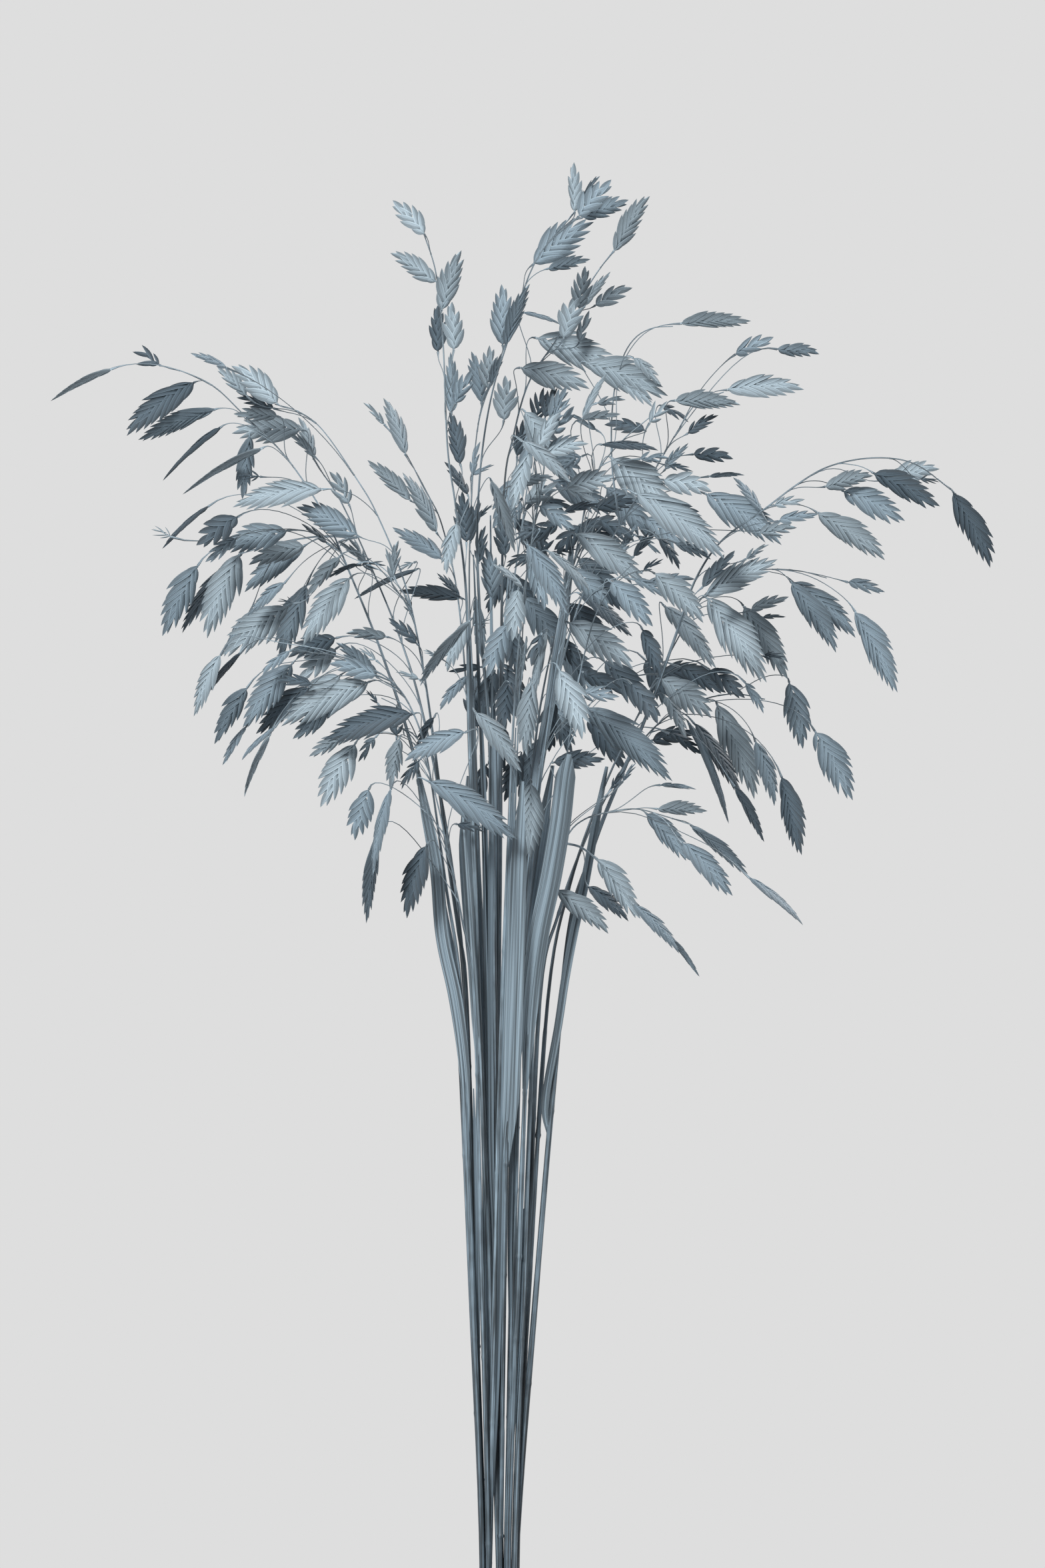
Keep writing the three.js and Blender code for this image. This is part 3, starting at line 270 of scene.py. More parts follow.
add_culm(
    "culm_back_centre", waist=(-4.2, 6.4), depth=105,
    path=((-3.4, 378), (-3, 430), (-1, 480), (3, 520), (8, 555), (12, 585), (14, 600)),
    spikelets=(
        (5, 575, -1, 552, 9, M), (14, 600, 10, 578, 11, M), (16, 590, 30, 572, 12, M),
        (6, 560, 18, 545, 11, D), (3, 540, 12, 520, 11, D), (1, 520, 8, 498, 10, D),
        (0, 505, 9, 482, 10, D), (2, 480, -2, 458, 8, D), (9, 530, 24, 508, 12, M),
        (20, 575, 42, 562, 12, M),
    ),
    buds=((8, 470, 2, 452, 8, D), (2, 538, -5, 524, 7, D), (15, 568, 28, 563, 5, D)),
)
add_culm(
    "culm_front", waist=(0.2, -4.8), depth=-115,
    path=((3.5, 378), (5, 430), (6.5, 470), (8, 505), (10, 535), (13, 556)),
    leaf_side=-1,
    leaf=((1.6, 317, 4), (4, 340, 6), (5, 370, 7), (6, 400, 7), (7, 430, 6), (8.5, 460, 1.2)),
    spikelets=(
        (7, 531, 5, 511.5, 8.5, L), (2.8, 518, -4.5, 498, 9, M), (22, 501.5, 31, 475.5, 11, L),
        (11.7, 497, 10, 468.8, 8.5, L), (17.5, 515.5, 12, 489, 4, L), (10, 512, 7, 490.5, 2.5, L),
        (15.5, 514, 11.5, 502.5, 6, D), (-9, 485.5, 8, 463, 8, L),
        (11.7, 459.6, 11.2, 430.5, 11, L), (10, 547.5, 25, 521, 9, M), (11, 545, 17, 523, 8, M),
        (18, 545, 33.5, 530.5, 4, L),
    ),
    buds=((14.5, 553, 5, 549, 6, D),),
)
add_culm(
    "culm_centre_front", waist=(-4.1, -3.9), depth=-70,
    path=((1, 378), (3, 430), (5, 480), (8, 520), (12, 550), (16, 572), (17, 584)),
    spikelets=(
        (9.5, 597, 20, 580, 12, L), (14.5, 584, 22.5, 597, 6, L), (18, 583, 30, 588, 5, M),
        (17, 581, 33, 585, 6, L), (18.5, 595.5, 25.5, 607.5, 6, M), (8.5, 585.5, 26.5, 570, 6, L),
        (11, 581, 5, 560, 7, L), (4, 569.5, 20, 573, 5, L), (10, 563.5, 22, 571, 10, L),
        (24.5, 568.5, 43, 573, 9, L), (25, 568.5, 36, 563.5, 5, L), (14.5, 562, 28, 553, 8, M),
        (24, 560, 37, 563, 4, D),
    ),
    buds=((20, 594, 26.5, 602, 5, M), (20, 589, 28, 599, 7, M)),
)
add_culm(
    "culm_top", waist=(0.3, 1.6), depth=-5,
    path=(
        (-1.9, 378), (-2.6, 430), (-4, 480), (-7, 515), (-8.5, 550), (-7, 580), (-3, 605),
        (3, 625), (13, 654), (28, 673),
    ),
    spikelets=(
        (1.5, 595, 2.5, 612, 10, L), (1, 623.5, 1, 646.5, 9, M), (2, 623, 11, 646, 6, M),
        (28, 673, 27.5, 691.5, 5.5, L), (30, 676, 37.5, 687, 3, M), (29.5, 671, 42, 684.5, 9, M),
        (31, 671.5, 48.5, 677.5, 8, M), (12.5, 654, 35, 670.5, 13, M), (18, 652, 34, 655.5, 5, M),
        (-2.5, 528.5, -5, 548, 8, M), (8.5, 532.5, -3, 541.5, 3, L),
    ),
    buds=(
        (-11, 550, -7.5, 566, 5, D), (-2, 501, -6, 484, 8, D), (3, 497, 1, 478, 8, D),
        (-8, 542, -5.5, 556, 5, M),
    ),
)
add_culm(
    "culm_upper_right", waist=(0.1, 4.8), depth=40,
    path=(
        (-0.5, 378), (0, 430), (0.5, 500), (1.5, 568), (5, 590), (11, 611), (22, 628), (35, 650),
        (43, 661),
    ),
    spikelets=(
        (43, 660.5, 56.5, 682, 8, L), (36, 640, 50, 647, 7, L), (30, 638.5, 32.5, 654.5, 8, L),
        (32, 640, 42, 653, 3.5, L), (24, 627, 30, 643, 11, L), (9, 637, 23, 632.5, 2, M),
        (13.5, 628, 46, 614.5, 13, L), (7.5, 616, 34, 608.5, 11, L), (13.5, 596, 17, 609, 9, D),
        (6.5, 583, 9, 597, 5, D), (2, 545, -0.5, 560, 7, M),
    ),
    buds=(
        (14, 546, 2, 541, 6, M), (20, 571, 9, 562, 8, D), (22, 557, 9, 550, 7, D),
        (8, 566, 3, 553, 7, M), (17, 597, 21, 610, 6, D), (30, 626, 34, 638, 5, L),
    ),
)
add_culm(
    "culm_front_right", waist=(3.1, -6.6), depth=-90,
    path=(
        (11, 378), (14.5, 402), (19, 424), (24, 462), (29, 495), (35, 520), (43, 534), (50, 541),
    ),
    leaf_side=-1,
    leaf=(
        (8.5, 345, 4), (11.5, 378, 6.5), (14.5, 402, 7.5), (19, 424, 8), (22.5, 445, 8),
        (24.5, 462, 7.5), (26, 470, 1.5),
    ),
    spikelets=(
        (32, 488, 64, 459.6, 12, M), (20, 467, 39.4, 468, 7, D), (49, 496, 59, 481.5, 9, D),
        (25.5, 519, 50, 502, 12, L), (31, 500.5, 46, 492.5, 7, D), (30.5, 492.5, 44.5, 491, 7, M),
        (53, 516.5, 60, 498, 7, D), (41, 534, 56.5, 517, 9.5, M), (57.5, 537, 76, 519, 10, L),
    ),
    buds=((41.8, 457, 46.8, 464, 4, D), (45.8, 460, 50.7, 467, 3, M)),
)
add_culm(
    "culm_right_centre", waist=(2.4, -3.2), depth=-50,
    path=((8, 378), (12, 430), (17, 475), (24, 520), (30, 553), (36, 574), (45, 586), (55.5, 595)),
    spikelets=(
        (36, 600.5, 47, 602, 4, L), (31, 595, 40, 612, 3, L), (30.5, 594.5, 45, 596, 4, L),
        (36, 591, 25, 597, 2.5, M), (54, 590.5, 39, 593, 6, D), (38, 585, 59, 583, 3.5, D),
        (41.5, 580.5, 65, 558, 14, L), (50, 567, 84, 543, 13, L), (60, 563, 76, 557, 7, M),
        (61, 572, 79, 568, 9, L), (52, 579.5, 63, 580, 5, M), (28, 552, 54.5, 533, 11, L),
        (26.5, 539, 41, 524, 9, M),
    ),
    buds=(
        (63, 577.5, 72, 575, 3.5, D), (39, 505, 58, 483, 10, M), (50, 535, 62, 529, 5, M),
        (66, 549, 79, 543, 5, M), (46, 607, 57, 599, 5, L),
    ),
)
add_culm(
    "culm_right_high", waist=(3, 0), depth=0,
    path=(
        (7.5, 378), (12, 440), (20, 490), (31, 530), (45, 556), (57, 575), (66.5, 591), (74, 602),
        (84, 606),
    ),
    branch=(
        (45, 556), (42, 580), (42.5, 603), (45.8, 618), (50.7, 626.4), (57.5, 630.3), (65, 631),
    ),
    spikelets=(
        (32, 617, 63, 604, 13, L), (50, 618.5, 60.5, 608, 5, L), (67.5, 631, 94, 631.5, 6, L),
        (88.5, 620.3, 103, 626.5, 6.5, M), (104, 622, 120, 620.5, 6, M),
        (85, 606.5, 114, 607, 9, L), (65.5, 602.5, 90, 601, 7, L), (61, 601, 71, 595, 4, D),
        (56, 594, 63, 602, 9, L), (70.5, 590.5, 82, 597.5, 5.5, D),
        (72.5, 582.5, 87.5, 581, 6.5, D), (62, 577, 71, 587, 4.5, M), (98, 560.5, 87.5, 574, 4, M),
        (77, 568, 106, 549, 13, M), (78.5, 574.5, 92, 575, 2, M),
    ),
)
add_culm(
    "culm_back_right", waist=(2.5, 3.3), depth=70,
    path=((7, 378), (11, 430), (16, 480), (22, 520), (29, 545), (39, 557)),
    leaf_side=1,
    leaf=(
        (8, 390, 3), (10, 430, 4), (14, 462, 4), (19, 490, 4), (23, 515, 4), (26, 538, 3),
        (27.5, 552, 1.2),
    ),
    spikelets=(
        (36, 564, 52, 566, 7, D), (27, 553, 44, 561, 5, D), (38, 559, 51, 551, 7, D),
        (46, 546, 52, 558, 4, M), (50.5, 545, 59, 554.5, 4.5, D), (60, 552, 68, 540, 5, D),
        (52, 553, 61, 546, 3, M), (30, 531, 50, 514.5, 6, D), (21, 514, 31.5, 502.5, 8, D),
        (60.5, 500.5, 80, 500.5, 8.5, D), (79, 502, 92, 491, 8, D), (56, 535, 74, 537, 5, M),
        (15, 545, 19, 556, 8, D),
    ),
    buds=(
        (54, 539.5, 62, 544, 4, D), (21, 547, 30, 548, 5, D), (30, 557, 21, 545, 8, D),
        (20, 490, 19, 471, 9, D), (31, 583, 19, 578, 7, M), (33, 484, 47, 464, 9, D),
        (55, 506, 63, 488, 8, D), (68, 503, 85, 493, 8, D), (64, 478, 76, 470, 5, D),
    ),
)
add_culm(
    "culm_back_far", waist=(3.3, 6.6), depth=105,
    path=((6, 378), (10, 430), (14, 480), (22, 520), (32, 550), (42, 572), (50, 583)),
    leaf_side=1,
    leaf=((4.5, 336, 3), (7, 372, 6), (11, 406, 7), (15, 436, 6), (20, 466, 1.2)),
    spikelets=(
        (48, 582, 62, 566, 12, M), (40, 572, 58, 552, 12, M), (33, 560, 47, 541, 11, D),
        (30, 545, 45, 530, 11, M), (26, 528, 40, 508, 12, D), (22, 510, 38, 492, 11, M),
        (18, 492, 27, 470, 10, M), (14, 475, 8, 452, 9, M), (36, 535, 54, 524, 10, D),
        (55, 560, 70, 548, 10, M),
    ),
)
add_culm(
    "culm_right_low", waist=(5.4, -4.8), depth=-60,
    path=(
        (13, 378), (15.5, 400), (20, 425), (25.5, 440), (32, 446), (40.8, 448.5), (50.7, 449.7),
        (60, 447.5), (71.5, 443.8),
    ),
    branch=((24, 437), (31, 435), (39, 428), (47, 419), (55, 410), (62, 403)),
    spikelets=(
        (58.6, 449.7, 77.4, 448.7, 5.5, L), (60, 458.6, 73.5, 457, 2, M),
        (54.7, 448, 71, 430, 8, M), (68, 437, 86.5, 417, 9, M), (71.5, 443.5, 93, 424, 5, M),
        (93, 424, 113, 406.5, 3, M), (36.4, 431, 52.2, 408.3, 9, L),
        (33, 420.6, 48.3, 407.8, 6, D), (21.6, 419.6, 40.9, 403.3, 8.5, L),
        (50, 414, 67, 396, 5, M), (63, 402, 74.5, 387, 2, M),
    ),
)
add_culm(
    "culm_right_long", waist=(5.9, -1.6), depth=-20,
    path=(
        (22.5, 372), (27, 410), (33, 429.5), (40, 449), (54.7, 484), (66, 515), (73, 535),
        (83, 550), (98, 561), (112, 571.5), (124, 578), (140, 580.8), (155, 578.5), (169.5, 568),
    ),
    leaf_side=-1,
    leaf=(
        (15.5, 327, 2.4), (17, 340, 3), (21.8, 368, 3), (24.5, 386, 3.2), (28, 405, 3.4),
        (32, 423, 3.4), (36, 445, 3), (40, 465.5, 1.2),
    ),
    spikelets=(
        (121.5, 570, 139.5, 574.5, 7, L), (128.5, 568.5, 151.5, 557, 11, M),
        (139.5, 575, 164, 562, 9.5, D), (145.5, 573.5, 165, 577.5, 8.5, L),
        (169.4, 568, 184, 540, 10, D), (102.5, 563, 114, 565, 5, L), (97, 553, 111, 555, 6, L),
        (104, 557, 119, 559.5, 5, M), (118.5, 560.5, 144.5, 543, 10, L),
        (76.6, 529, 104, 542.5, 10, L), (75.7, 532.4, 88, 546, 5, M),
    ),
    buds=((157, 573, 164.5, 572, 4, D), (92, 543, 100.7, 548.6, 3.5, L)),
)
add_culm(
    "culm_right_mid", waist=(5.2, 1.6), depth=20,
    path=(
        (18, 378), (26, 420), (38, 455), (52, 485), (66, 512), (76, 529), (86, 536), (98, 539.5),
        (112, 539.3), (123, 536.5),
    ),
    spikelets=(
        (109.5, 535, 127, 508.5, 9, M), (110.5, 535, 134.5, 514.5, 10, M),
        (133.5, 524, 149, 493, 10, M), (131, 535, 145, 531, 5.5, M), (91.4, 526, 108, 498, 10, L),
        (94, 524, 108.5, 529, 5, L), (77.5, 529, 99.5, 496.5, 14, L), (61.5, 526, 81, 502, 8.5, L),
        (60.5, 498.5, 80, 484, 12, L), (62, 492, 70, 476, 5, L),
    ),
    buds=(
        (92, 497, 99, 485.5, 4.5, M), (99, 521.8, 108, 522, 2, D), (98.5, 507, 107.5, 506.5, 4, D),
    ),
)
add_culm(
    "culm_right_back", waist=(6.3, 4.9), depth=50,
    path=((15, 378), (22, 410), (33, 440), (47, 466), (60, 482), (74, 490), (88, 493), (100, 491)),
    spikelets=(
        (81.9, 489.3, 96.7, 453.2, 11, L), (71, 482.3, 86.3, 443.8, 3, M),
        (88.3, 458, 99.2, 437, 4, D), (73.5, 482, 91.3, 454.2, 7, D), (57.5, 475.5, 74, 478, 7, D),
        (96.2, 475, 103.6, 450.7, 7, M), (106, 461.6, 113, 432, 9, D),
        (109, 497.3, 113.8, 472, 10, M), (118.5, 479, 132.5, 452.5, 12, M),
    ),
)

# Swollen nodes that the photograph shows, as front-view points
NODE_MARKS = (
    (15.7, 327), (8, 282), (-8.4, 248), (-4.3, 198), (7, 207), (0.5, 177), (2.3, 317),
    (0.4, 301), (6, 330), (-7, 376), (8.8, 396),
)


# Vectors and lines
def unit(vector):
    return vector / np.linalg.norm(vector)


def square(direction, axis):
    return unit(direction - axis * direction.dot(axis))


def turned(vector, axis, angle):
    return (
        vector * math.cos(angle)
        + np.cross(axis, vector) * math.sin(angle)
        + axis * axis.dot(vector) * (1 - math.cos(angle))
    )


def smooth(points):
    """A Catmull-Rom curve through the points."""
    points = np.asarray(points, float)
    padded = np.vstack((2 * points[0] - points[1], points, 2 * points[-1] - points[-2]))
    u = np.linspace(0, 1, CURVE_STEPS, endpoint=False)[:, None]
    spans = []
    for a, b, c, d in zip(padded, padded[1:], padded[2:], padded[3:]):
        bend, swing = 2 * a - 5 * b + 4 * c - d, 3 * b - a - 3 * c + d
        spans.append(0.5 * (2 * b + (c - a) * u + bend * u**2 + swing * u**3))
    return np.vstack((*spans, points[-1:]))


def lengths_along(points):
    steps = np.linalg.norm(np.diff(points, axis=0), axis=1)
    return np.concatenate(((0.0,), np.cumsum(steps)))


def point_at(points, distance):
    """The point at a distance along a line, and the line's direction there."""
    travelled = lengths_along(points)
    distance = min(max(distance, 0), travelled[-1])
    index = min(int(np.searchsorted(travelled, distance, "right")) - 1, len(points) - 2)
    direction = unit(points[index + 1] - points[index])
    return points[index] + direction * (distance - travelled[index]), direction


def nearest(points, x, z):
    """The front-view gap to a line, and the distance along it of the nearest place."""
    flat = points[:, (0, 2)]
    step = np.diff(flat, axis=0)
    offset = np.array((x, z)) - flat[:-1]
    share = np.clip((offset * step).sum(1) / (step * step).sum(1), 0, 1)
    gaps = np.linalg.norm(offset - share[:, None] * step, axis=1)
    index = int(gaps.argmin())
    travelled = lengths_along(points)
    span = travelled[index + 1] - travelled[index]
    return gaps[index], travelled[index] + share[index] * span


def tangents(points):
    return np.array([unit(v) for v in np.gradient(points, axis=0)])


def circle(radius, angles, z):
    """Points around the pot's axis."""
    x, y = radius * np.cos(angles), radius * np.sin(angles)
    return np.column_stack((x, y, np.broadcast_to(z, x.shape)))


def around(sides):
    return np.linspace(0, TURN, sides, endpoint=False)


# Lines of the plant, as in the part's source
def culm_line(culm):
    waist_x, waist_y = culm["waist"]
    foot_x, foot_y = waist_x * ROOT_FLARE, waist_y * ROOT_FLARE
    first_x, first_z = culm["path"][0]
    middle = (
        waist_x + (first_x - waist_x) * MIDDLE_ACROSS,
        WAIST_Z + (first_z - WAIST_Z) * MIDDLE_UP,
    )
    flat = np.array(((waist_x, WAIST_Z), middle, *culm["path"]), float)
    share = lengths_along(flat) / DEPTH_REACH
    depths = waist_y + (culm["depth"] - waist_y) * share**DEPTH_POWER
    line = np.column_stack((flat[:, 0], depths, flat[:, 1]))
    root = (foot_x, foot_y, HOLE_BOTTOM + GAP)
    collar = (foot_x, foot_y, SOIL_TOP + COLLAR_HEIGHT)
    return np.vstack((root, collar, line))


def branch_line(line, branch):
    foot = point_at(line, nearest(line, *branch[0])[1])[0]
    return np.array(
        [(x, foot[1] + BRANCH_BACK_STEP * index, z) for index, (x, z) in enumerate(branch)]
    )


def leaf_line(line, leaf, side):
    places = []
    for index, (x, z, _) in enumerate(leaf):
        stem = point_at(line, nearest(line, x, z)[1])[0]
        lifted = np.array((x, stem[1] + side * LEAF_LIFT * index, z))
        places.append(stem if index == 0 else lifted)
    return np.array(places)


# Meshes
FOOT_PAINTED_SHADE = ((160, 350), (0.55, 0))  # painted shade: the grass darkens toward its foot, where the stems shade each other
HEAD_ON = 0.9
SEEDS = 50
STEM_SLOT, FLORET_SLOT, LEAF_SLOT = range(3)


class Batch:
    """The mesh of one piece, gathered body by body."""

    def __init__(self):
        self.points = []
        self.faces = []
        self.fibre = []
        self.tone = []
        self.slots = []
        self.count = 0

    def add(self, points, faces, fibre=None, tone=0, slot=0):
        """Another body. Fibre says where each point lies on its floret, stem or leaf."""
        self.points.append(points)
        self.faces += [[corner + self.count for corner in face] for face in faces]
        self.fibre.append(np.zeros((len(points), 3)) if fibre is None else fibre)
        # Painted shade toward the foot of the bunch
        self.tone.append(tone + np.interp(points[:, 2], *FOOT_PAINTED_SHADE))
        self.slots += [slot] * len(faces)
        self.count += len(points)

    def build(self, name, materials, sharp_degrees):
        mesh = bpy.data.meshes.new(name)
        mesh.from_pydata((np.vstack(self.points) * MM).tolist(), [], self.faces)
        for material in materials:
            mesh.materials.append(material)
        mesh.polygons.foreach_set("material_index", self.slots)
        mesh.polygons.foreach_set("use_smooth", [True] * len(self.slots))
        fibre = mesh.attributes.new("fibre", "FLOAT_VECTOR", "POINT")
        fibre.data.foreach_set("vector", np.vstack(self.fibre).astype(np.float32).ravel())
        tone = mesh.attributes.new("tone", "FLOAT", "POINT")
        tone.data.foreach_set("value", np.concatenate(self.tone).astype(np.float32))
        mesh.set_sharp_from_angle(angle=math.radians(sharp_degrees))
        mesh.validate()
        made = bpy.data.objects.new(name, mesh)
        bpy.context.scene.collection.objects.link(made)
        return made


def ring_faces(rings, sides, pointed=False):
    """Faces of a closed body made of rings. It ends in a cap or a point."""
    faces = []
    full = rings - 1 if pointed else rings
    for ring in range(full - 1):
        for side in range(sides):
            a = ring * sides + side
            b = ring * sides + (side + 1) % sides
            faces.append((a, b, b + sides, a + sides))
    last = (full - 1) * sides
    if pointed:
        tip = full * sides
        faces += [(last + side, last + (side + 1) % sides, tip) for side in range(sides)]
    else:
        faces.append(tuple(last + side for side in range(sides)))
    faces.append(tuple(reversed(range(sides))))
    return faces


def tube(batch, points, radii, sides, tone, slot, seed):
    """A round stalk along the points. Its fibre runs on in millimetres."""
    directions = tangents(points)
    angles = around(sides)
    rings, fibre = [], []
    head_on = abs(directions[0][1]) >= HEAD_ON
    front = UP if head_on else square(FRONT, directions[0])
    for point, direction, radius, distance in zip(
        points, directions, radii, lengths_along(points)
    ):
        front = square(front, direction)
        across = np.cross(direction, front)
        spokes = np.outer(np.cos(angles), across) + np.outer(np.sin(angles), front)
        rings.append(point + radius * spokes)
        fibre.append(np.column_stack((np.full(sides, distance), angles, np.full(sides, seed))))
    tones = np.repeat(np.broadcast_to(tone, len(points)), sides)
    batch.add(np.vstack(rings), ring_faces(len(points), sides), np.vstack(fibre), tones, slot)


# Florets: a keeled body, folded along its outer edge, with its free margins on the
# inner side. Each stands up towards its margin, over the keel of the next one.
MARGIN_COLUMN = 0.82
FLORET_SECTION = ((0, 0.08, 0.25, 0.55, 0.9, 1), (0, 0.34, 0.58, 0.8, 1, 0.94))
FLORET_OUTLINE = (
    (0, 0.15, 0.35, 0.5, 0.65, 0.8, 0.9, 1), (0.45, 0.75, 0.96, 1, 0.9, 0.62, 0.36, 0)
)
NECK_LEAST = 0.2
NECK_LENGTH = 6
NECK_SHARE = 0.45
FLORET_BASE_BACK = 0.45
FLORET_BASE_ACROSS = 0.2
FLORET_BEND_ALONG = 0.44
FLORET_BEND_ACROSS = 0.58
CREST_SHARE = 0.3
CREST_FOOT = 0.45
CREST_FALL = 0.8
CREST_POWER = 1.7


def floret_template(rows, across):
    """A floret's shares along it and across it, the side each column is on, and its faces."""
    columns = np.array((*across, MARGIN_COLUMN, *reversed(across[1:])))
    sides = np.array((*[1] * len(across), 0, *[-1] * (len(across) - 1)))
    faces = ring_faces(rows, len(columns), pointed=True)
    return np.linspace(0, 1, rows)[:-1], columns, sides, faces


LARGE_FLORET = floret_template(10, (0, 0.22, 0.55, 0.88, 1))
SMALL_FLORET = floret_template(8, (0, 0.25, 0.7, 1))


def floret(place, template, start, reach, across_tip, half_breadth, widest, height):
    """One floret as points, two shares of fibre and faces, placed on its spikelet."""
    lengthwise, columns, sides, faces = template
    sign = 1 if across_tip >= 0 else -1
    neck = min(1, NECK_LEAST + max(0, start) / NECK_LENGTH)
    a = np.array(
        (
            start - FLORET_BASE_BACK * widest * neck,
            -sign * FLORET_BASE_ACROSS * half_breadth * neck,
        )
    )
    b = np.array((start + FLORET_BEND_ALONG * reach, FLORET_BEND_ACROSS * across_tip))
    c = np.array((start + reach, across_tip))
    u = lengthwise[:, None]
    centre = a * (1 - u) ** 2 + b * 2 * u * (1 - u) + c * u**2
    heading = (b - a) * (1 - u) + (c - b) * u
    heading /= np.linalg.norm(heading, axis=1)[:, None]
    inward = sign * np.column_stack((heading[:, 1], -heading[:, 0]))
    width = widest * np.interp(lengthwise, *FLORET_OUTLINE)
    width *= np.minimum(1, neck + lengthwise / NECK_SHARE)
    past_crest = np.maximum(lengthwise - CREST_SHARE, 0) / (1 - CREST_SHARE)
    rise = np.where(
        lengthwise < CREST_SHARE,
        CREST_FOOT + (1 - CREST_FOOT) * lengthwise / CREST_SHARE,
        1 - CREST_FALL * past_crest**CREST_POWER,
    )
    inset = width[:, None] * (2 * columns - 1)
    flat = centre[:, None, :] + inward[:, None, :] * inset[:, :, None]
    out = height * rise[:, None] * np.interp(columns, *FLORET_SECTION) * sides
    points = place(flat[:, :, 0].ravel(), flat[:, :, 1].ravel(), out.ravel())
    tip = place(c[:1], c[1:], np.zeros(1))
    along_all = np.append(np.repeat(lengthwise, len(columns)), 1.0)
    across_all = np.append(np.tile(columns, len(lengthwise)), 0.5)
    return np.vstack((points, tip)), along_all, across_all, faces


# Spikelets: the longer they are, the more florets they have. The glumes come first.
LARGE_SPIKELET = 22
HALF_THICKNESS_BASE = 0.35
HALF_THICKNESS_PER_BREADTH = 0.055
FLORET_SPREAD = 0.53
FLORET_OVERLAP = 1.02
FLORET_PITCH = 3.0
FLORET_ROOM = 0.75
FLORET_LEAST_ANGLE = 0.42
REACH_BASE = 6
REACH_PER_LENGTH = 0.13
REACH_MOST = 0.62
REACH_FADE = 0.16
SMALL_REACH = ((8, 18), (0.85, 0.45))  # share of the length, by length
SMALL_WIDTH = ((9, 18), (0.65, 1))
FIRST_WIDTHS = ((6, 14), (0.78, 1))  # by the place of the tip
GLUME_SHARE = 0.55
GLUME_WIDTH = 0.62
BASE_OPENING = 0.42
BASE_BREADTH = 0.8
OUTLINE_START = 0.14
OUTLINE_RUN = 0.78
OUTLINE_SKEW = 0.8
OUTLINE_FULLNESS = 0.75
TIP_CLOSING = ((0.86, 1), (1, 0.3))
SWELLING = ((0, 0.3), (0.7, 1))
THINNING = 0.35
ACROSS_VARIES = (0.88, 1.08)
REACH_VARIES = (0.93, 1.06)
TONE_VARIES = 0.12
CORE_SHARES = np.linspace(0, 0.92, 8)
CORE_RADII = 0.34 * (1 - 0.8 * CORE_SHARES)
THIN_SIDES = 6


def breadth_share(share):
    swell = min(1, OUTLINE_START + OUTLINE_RUN * share) ** OUTLINE_SKEW
    return math.sin(math.pi * swell) ** OUTLINE_FULLNESS * np.interp(share, *TIP_CLOSING)


def spikelet_surface(base, axis, length, turn):
    """A function that puts points along, across and out of a bowed and twisted spikelet."""
    normal = turned(square(FRONT, axis), axis, turn)
    side = np.cross(axis, normal)
    bend = square(UP, axis)
    twist = random.uniform(-SPIKELET_TWIST, SPIKELET_TWIST)

    def place(along, across, out):
        share = np.clip(along / length, 0, 1)
        angle = twist * (share - 0.5)
        sides = np.outer(np.cos(angle), side) + np.outer(np.sin(angle), normal)
        normals = np.outer(np.cos(angle), normal) - np.outer(np.sin(angle), side)
        bow = SPIKELET_BOW * length * 4 * share * (1 - share)
        lifted = np.outer(along, axis) + np.outer(bow, bend)
        return base + lifted + sides * across[:, None] + normals * out[:, None]

    return place


def spikelet(batch, base, tip, breadth_seen, sign, tone):
    """A whole spikelet. It returns the direction that it points in."""
    axis = tip - base
    length = np.linalg.norm(axis)
    axis = axis / length
    breadth = max(breadth_seen, BREADTH_BASE + BREADTH_PER_LENGTH * length)
    turn = sign * max(LEAST_TURN, math.acos(min(1, breadth_seen / breadth)))
    thickness = HALF_THICKNESS_BASE + HALF_THICKNESS_PER_BREADTH * breadth
    half = FLORET_SPREAD * breadth
    place = spikelet_surface(base, axis, length, turn)

    template = LARGE_FLORET if length >= LARGE_SPIKELET else SMALL_FLORET
    reach = min(REACH_BASE + REACH_PER_LENGTH * length, REACH_MOST * length)
    reach = max(reach, length * np.interp(length, *SMALL_REACH))
    slender = np.interp(length, *SMALL_WIDTH)
    count = max(2, 1 + round((length - reach) / FLORET_PITCH))
    pitch = (length - reach) / (count - FLORET_ROOM)
    wanted = [(reach * GLUME_SHARE, side, GLUME_SHARE, GLUME_WIDTH) for side in (1, -1)]
    lead = 1 if random.random() < 0.5 else -1
    last = 2 * count - 1
    for index in range(last):
        along_tip = reach + (length - reach) * index / (last - 1)
        width = np.interp(along_tip, *FIRST_WIDTHS)
        wanted.append((along_tip, lead * (-1) ** index, 1, width))
    for along_tip, side, size, width in wanted:
        share = min(1, along_tip / length)
        across = min(half * breadth_share(share), BASE_OPENING * along_tip + BASE_BREADTH)
        across *= random.uniform(*ACROSS_VARIES)
        own_reach = reach * size * (1 - REACH_FADE * share) * random.uniform(*REACH_VARIES)
        height = thickness * np.interp(share, *SWELLING) * (1 - THINNING * share)
        angle = max(FLORET_LEAST_ANGLE, math.atan2(across, own_reach))
        widest = FLORET_OVERLAP * pitch * math.sin(angle) * slender * width
        points, u, v, faces = floret(
            place, template, along_tip - own_reach, own_reach, side * across, half, widest, height
        )
        seed = random.uniform(0, SEEDS)
        fibre = np.column_stack((u, v, np.full(len(points), seed)))
        shade = tone + random.uniform(-TONE_VARIES, TONE_VARIES)
        batch.add(points, faces, fibre, shade, FLORET_SLOT)
    flat = np.zeros(len(CORE_SHARES))
    core = place(CORE_SHARES * length, flat, flat)
    tube(batch, core, thickness * CORE_RADII, THIN_SIDES, tone, FLORET_SLOT, 0)
    return axis


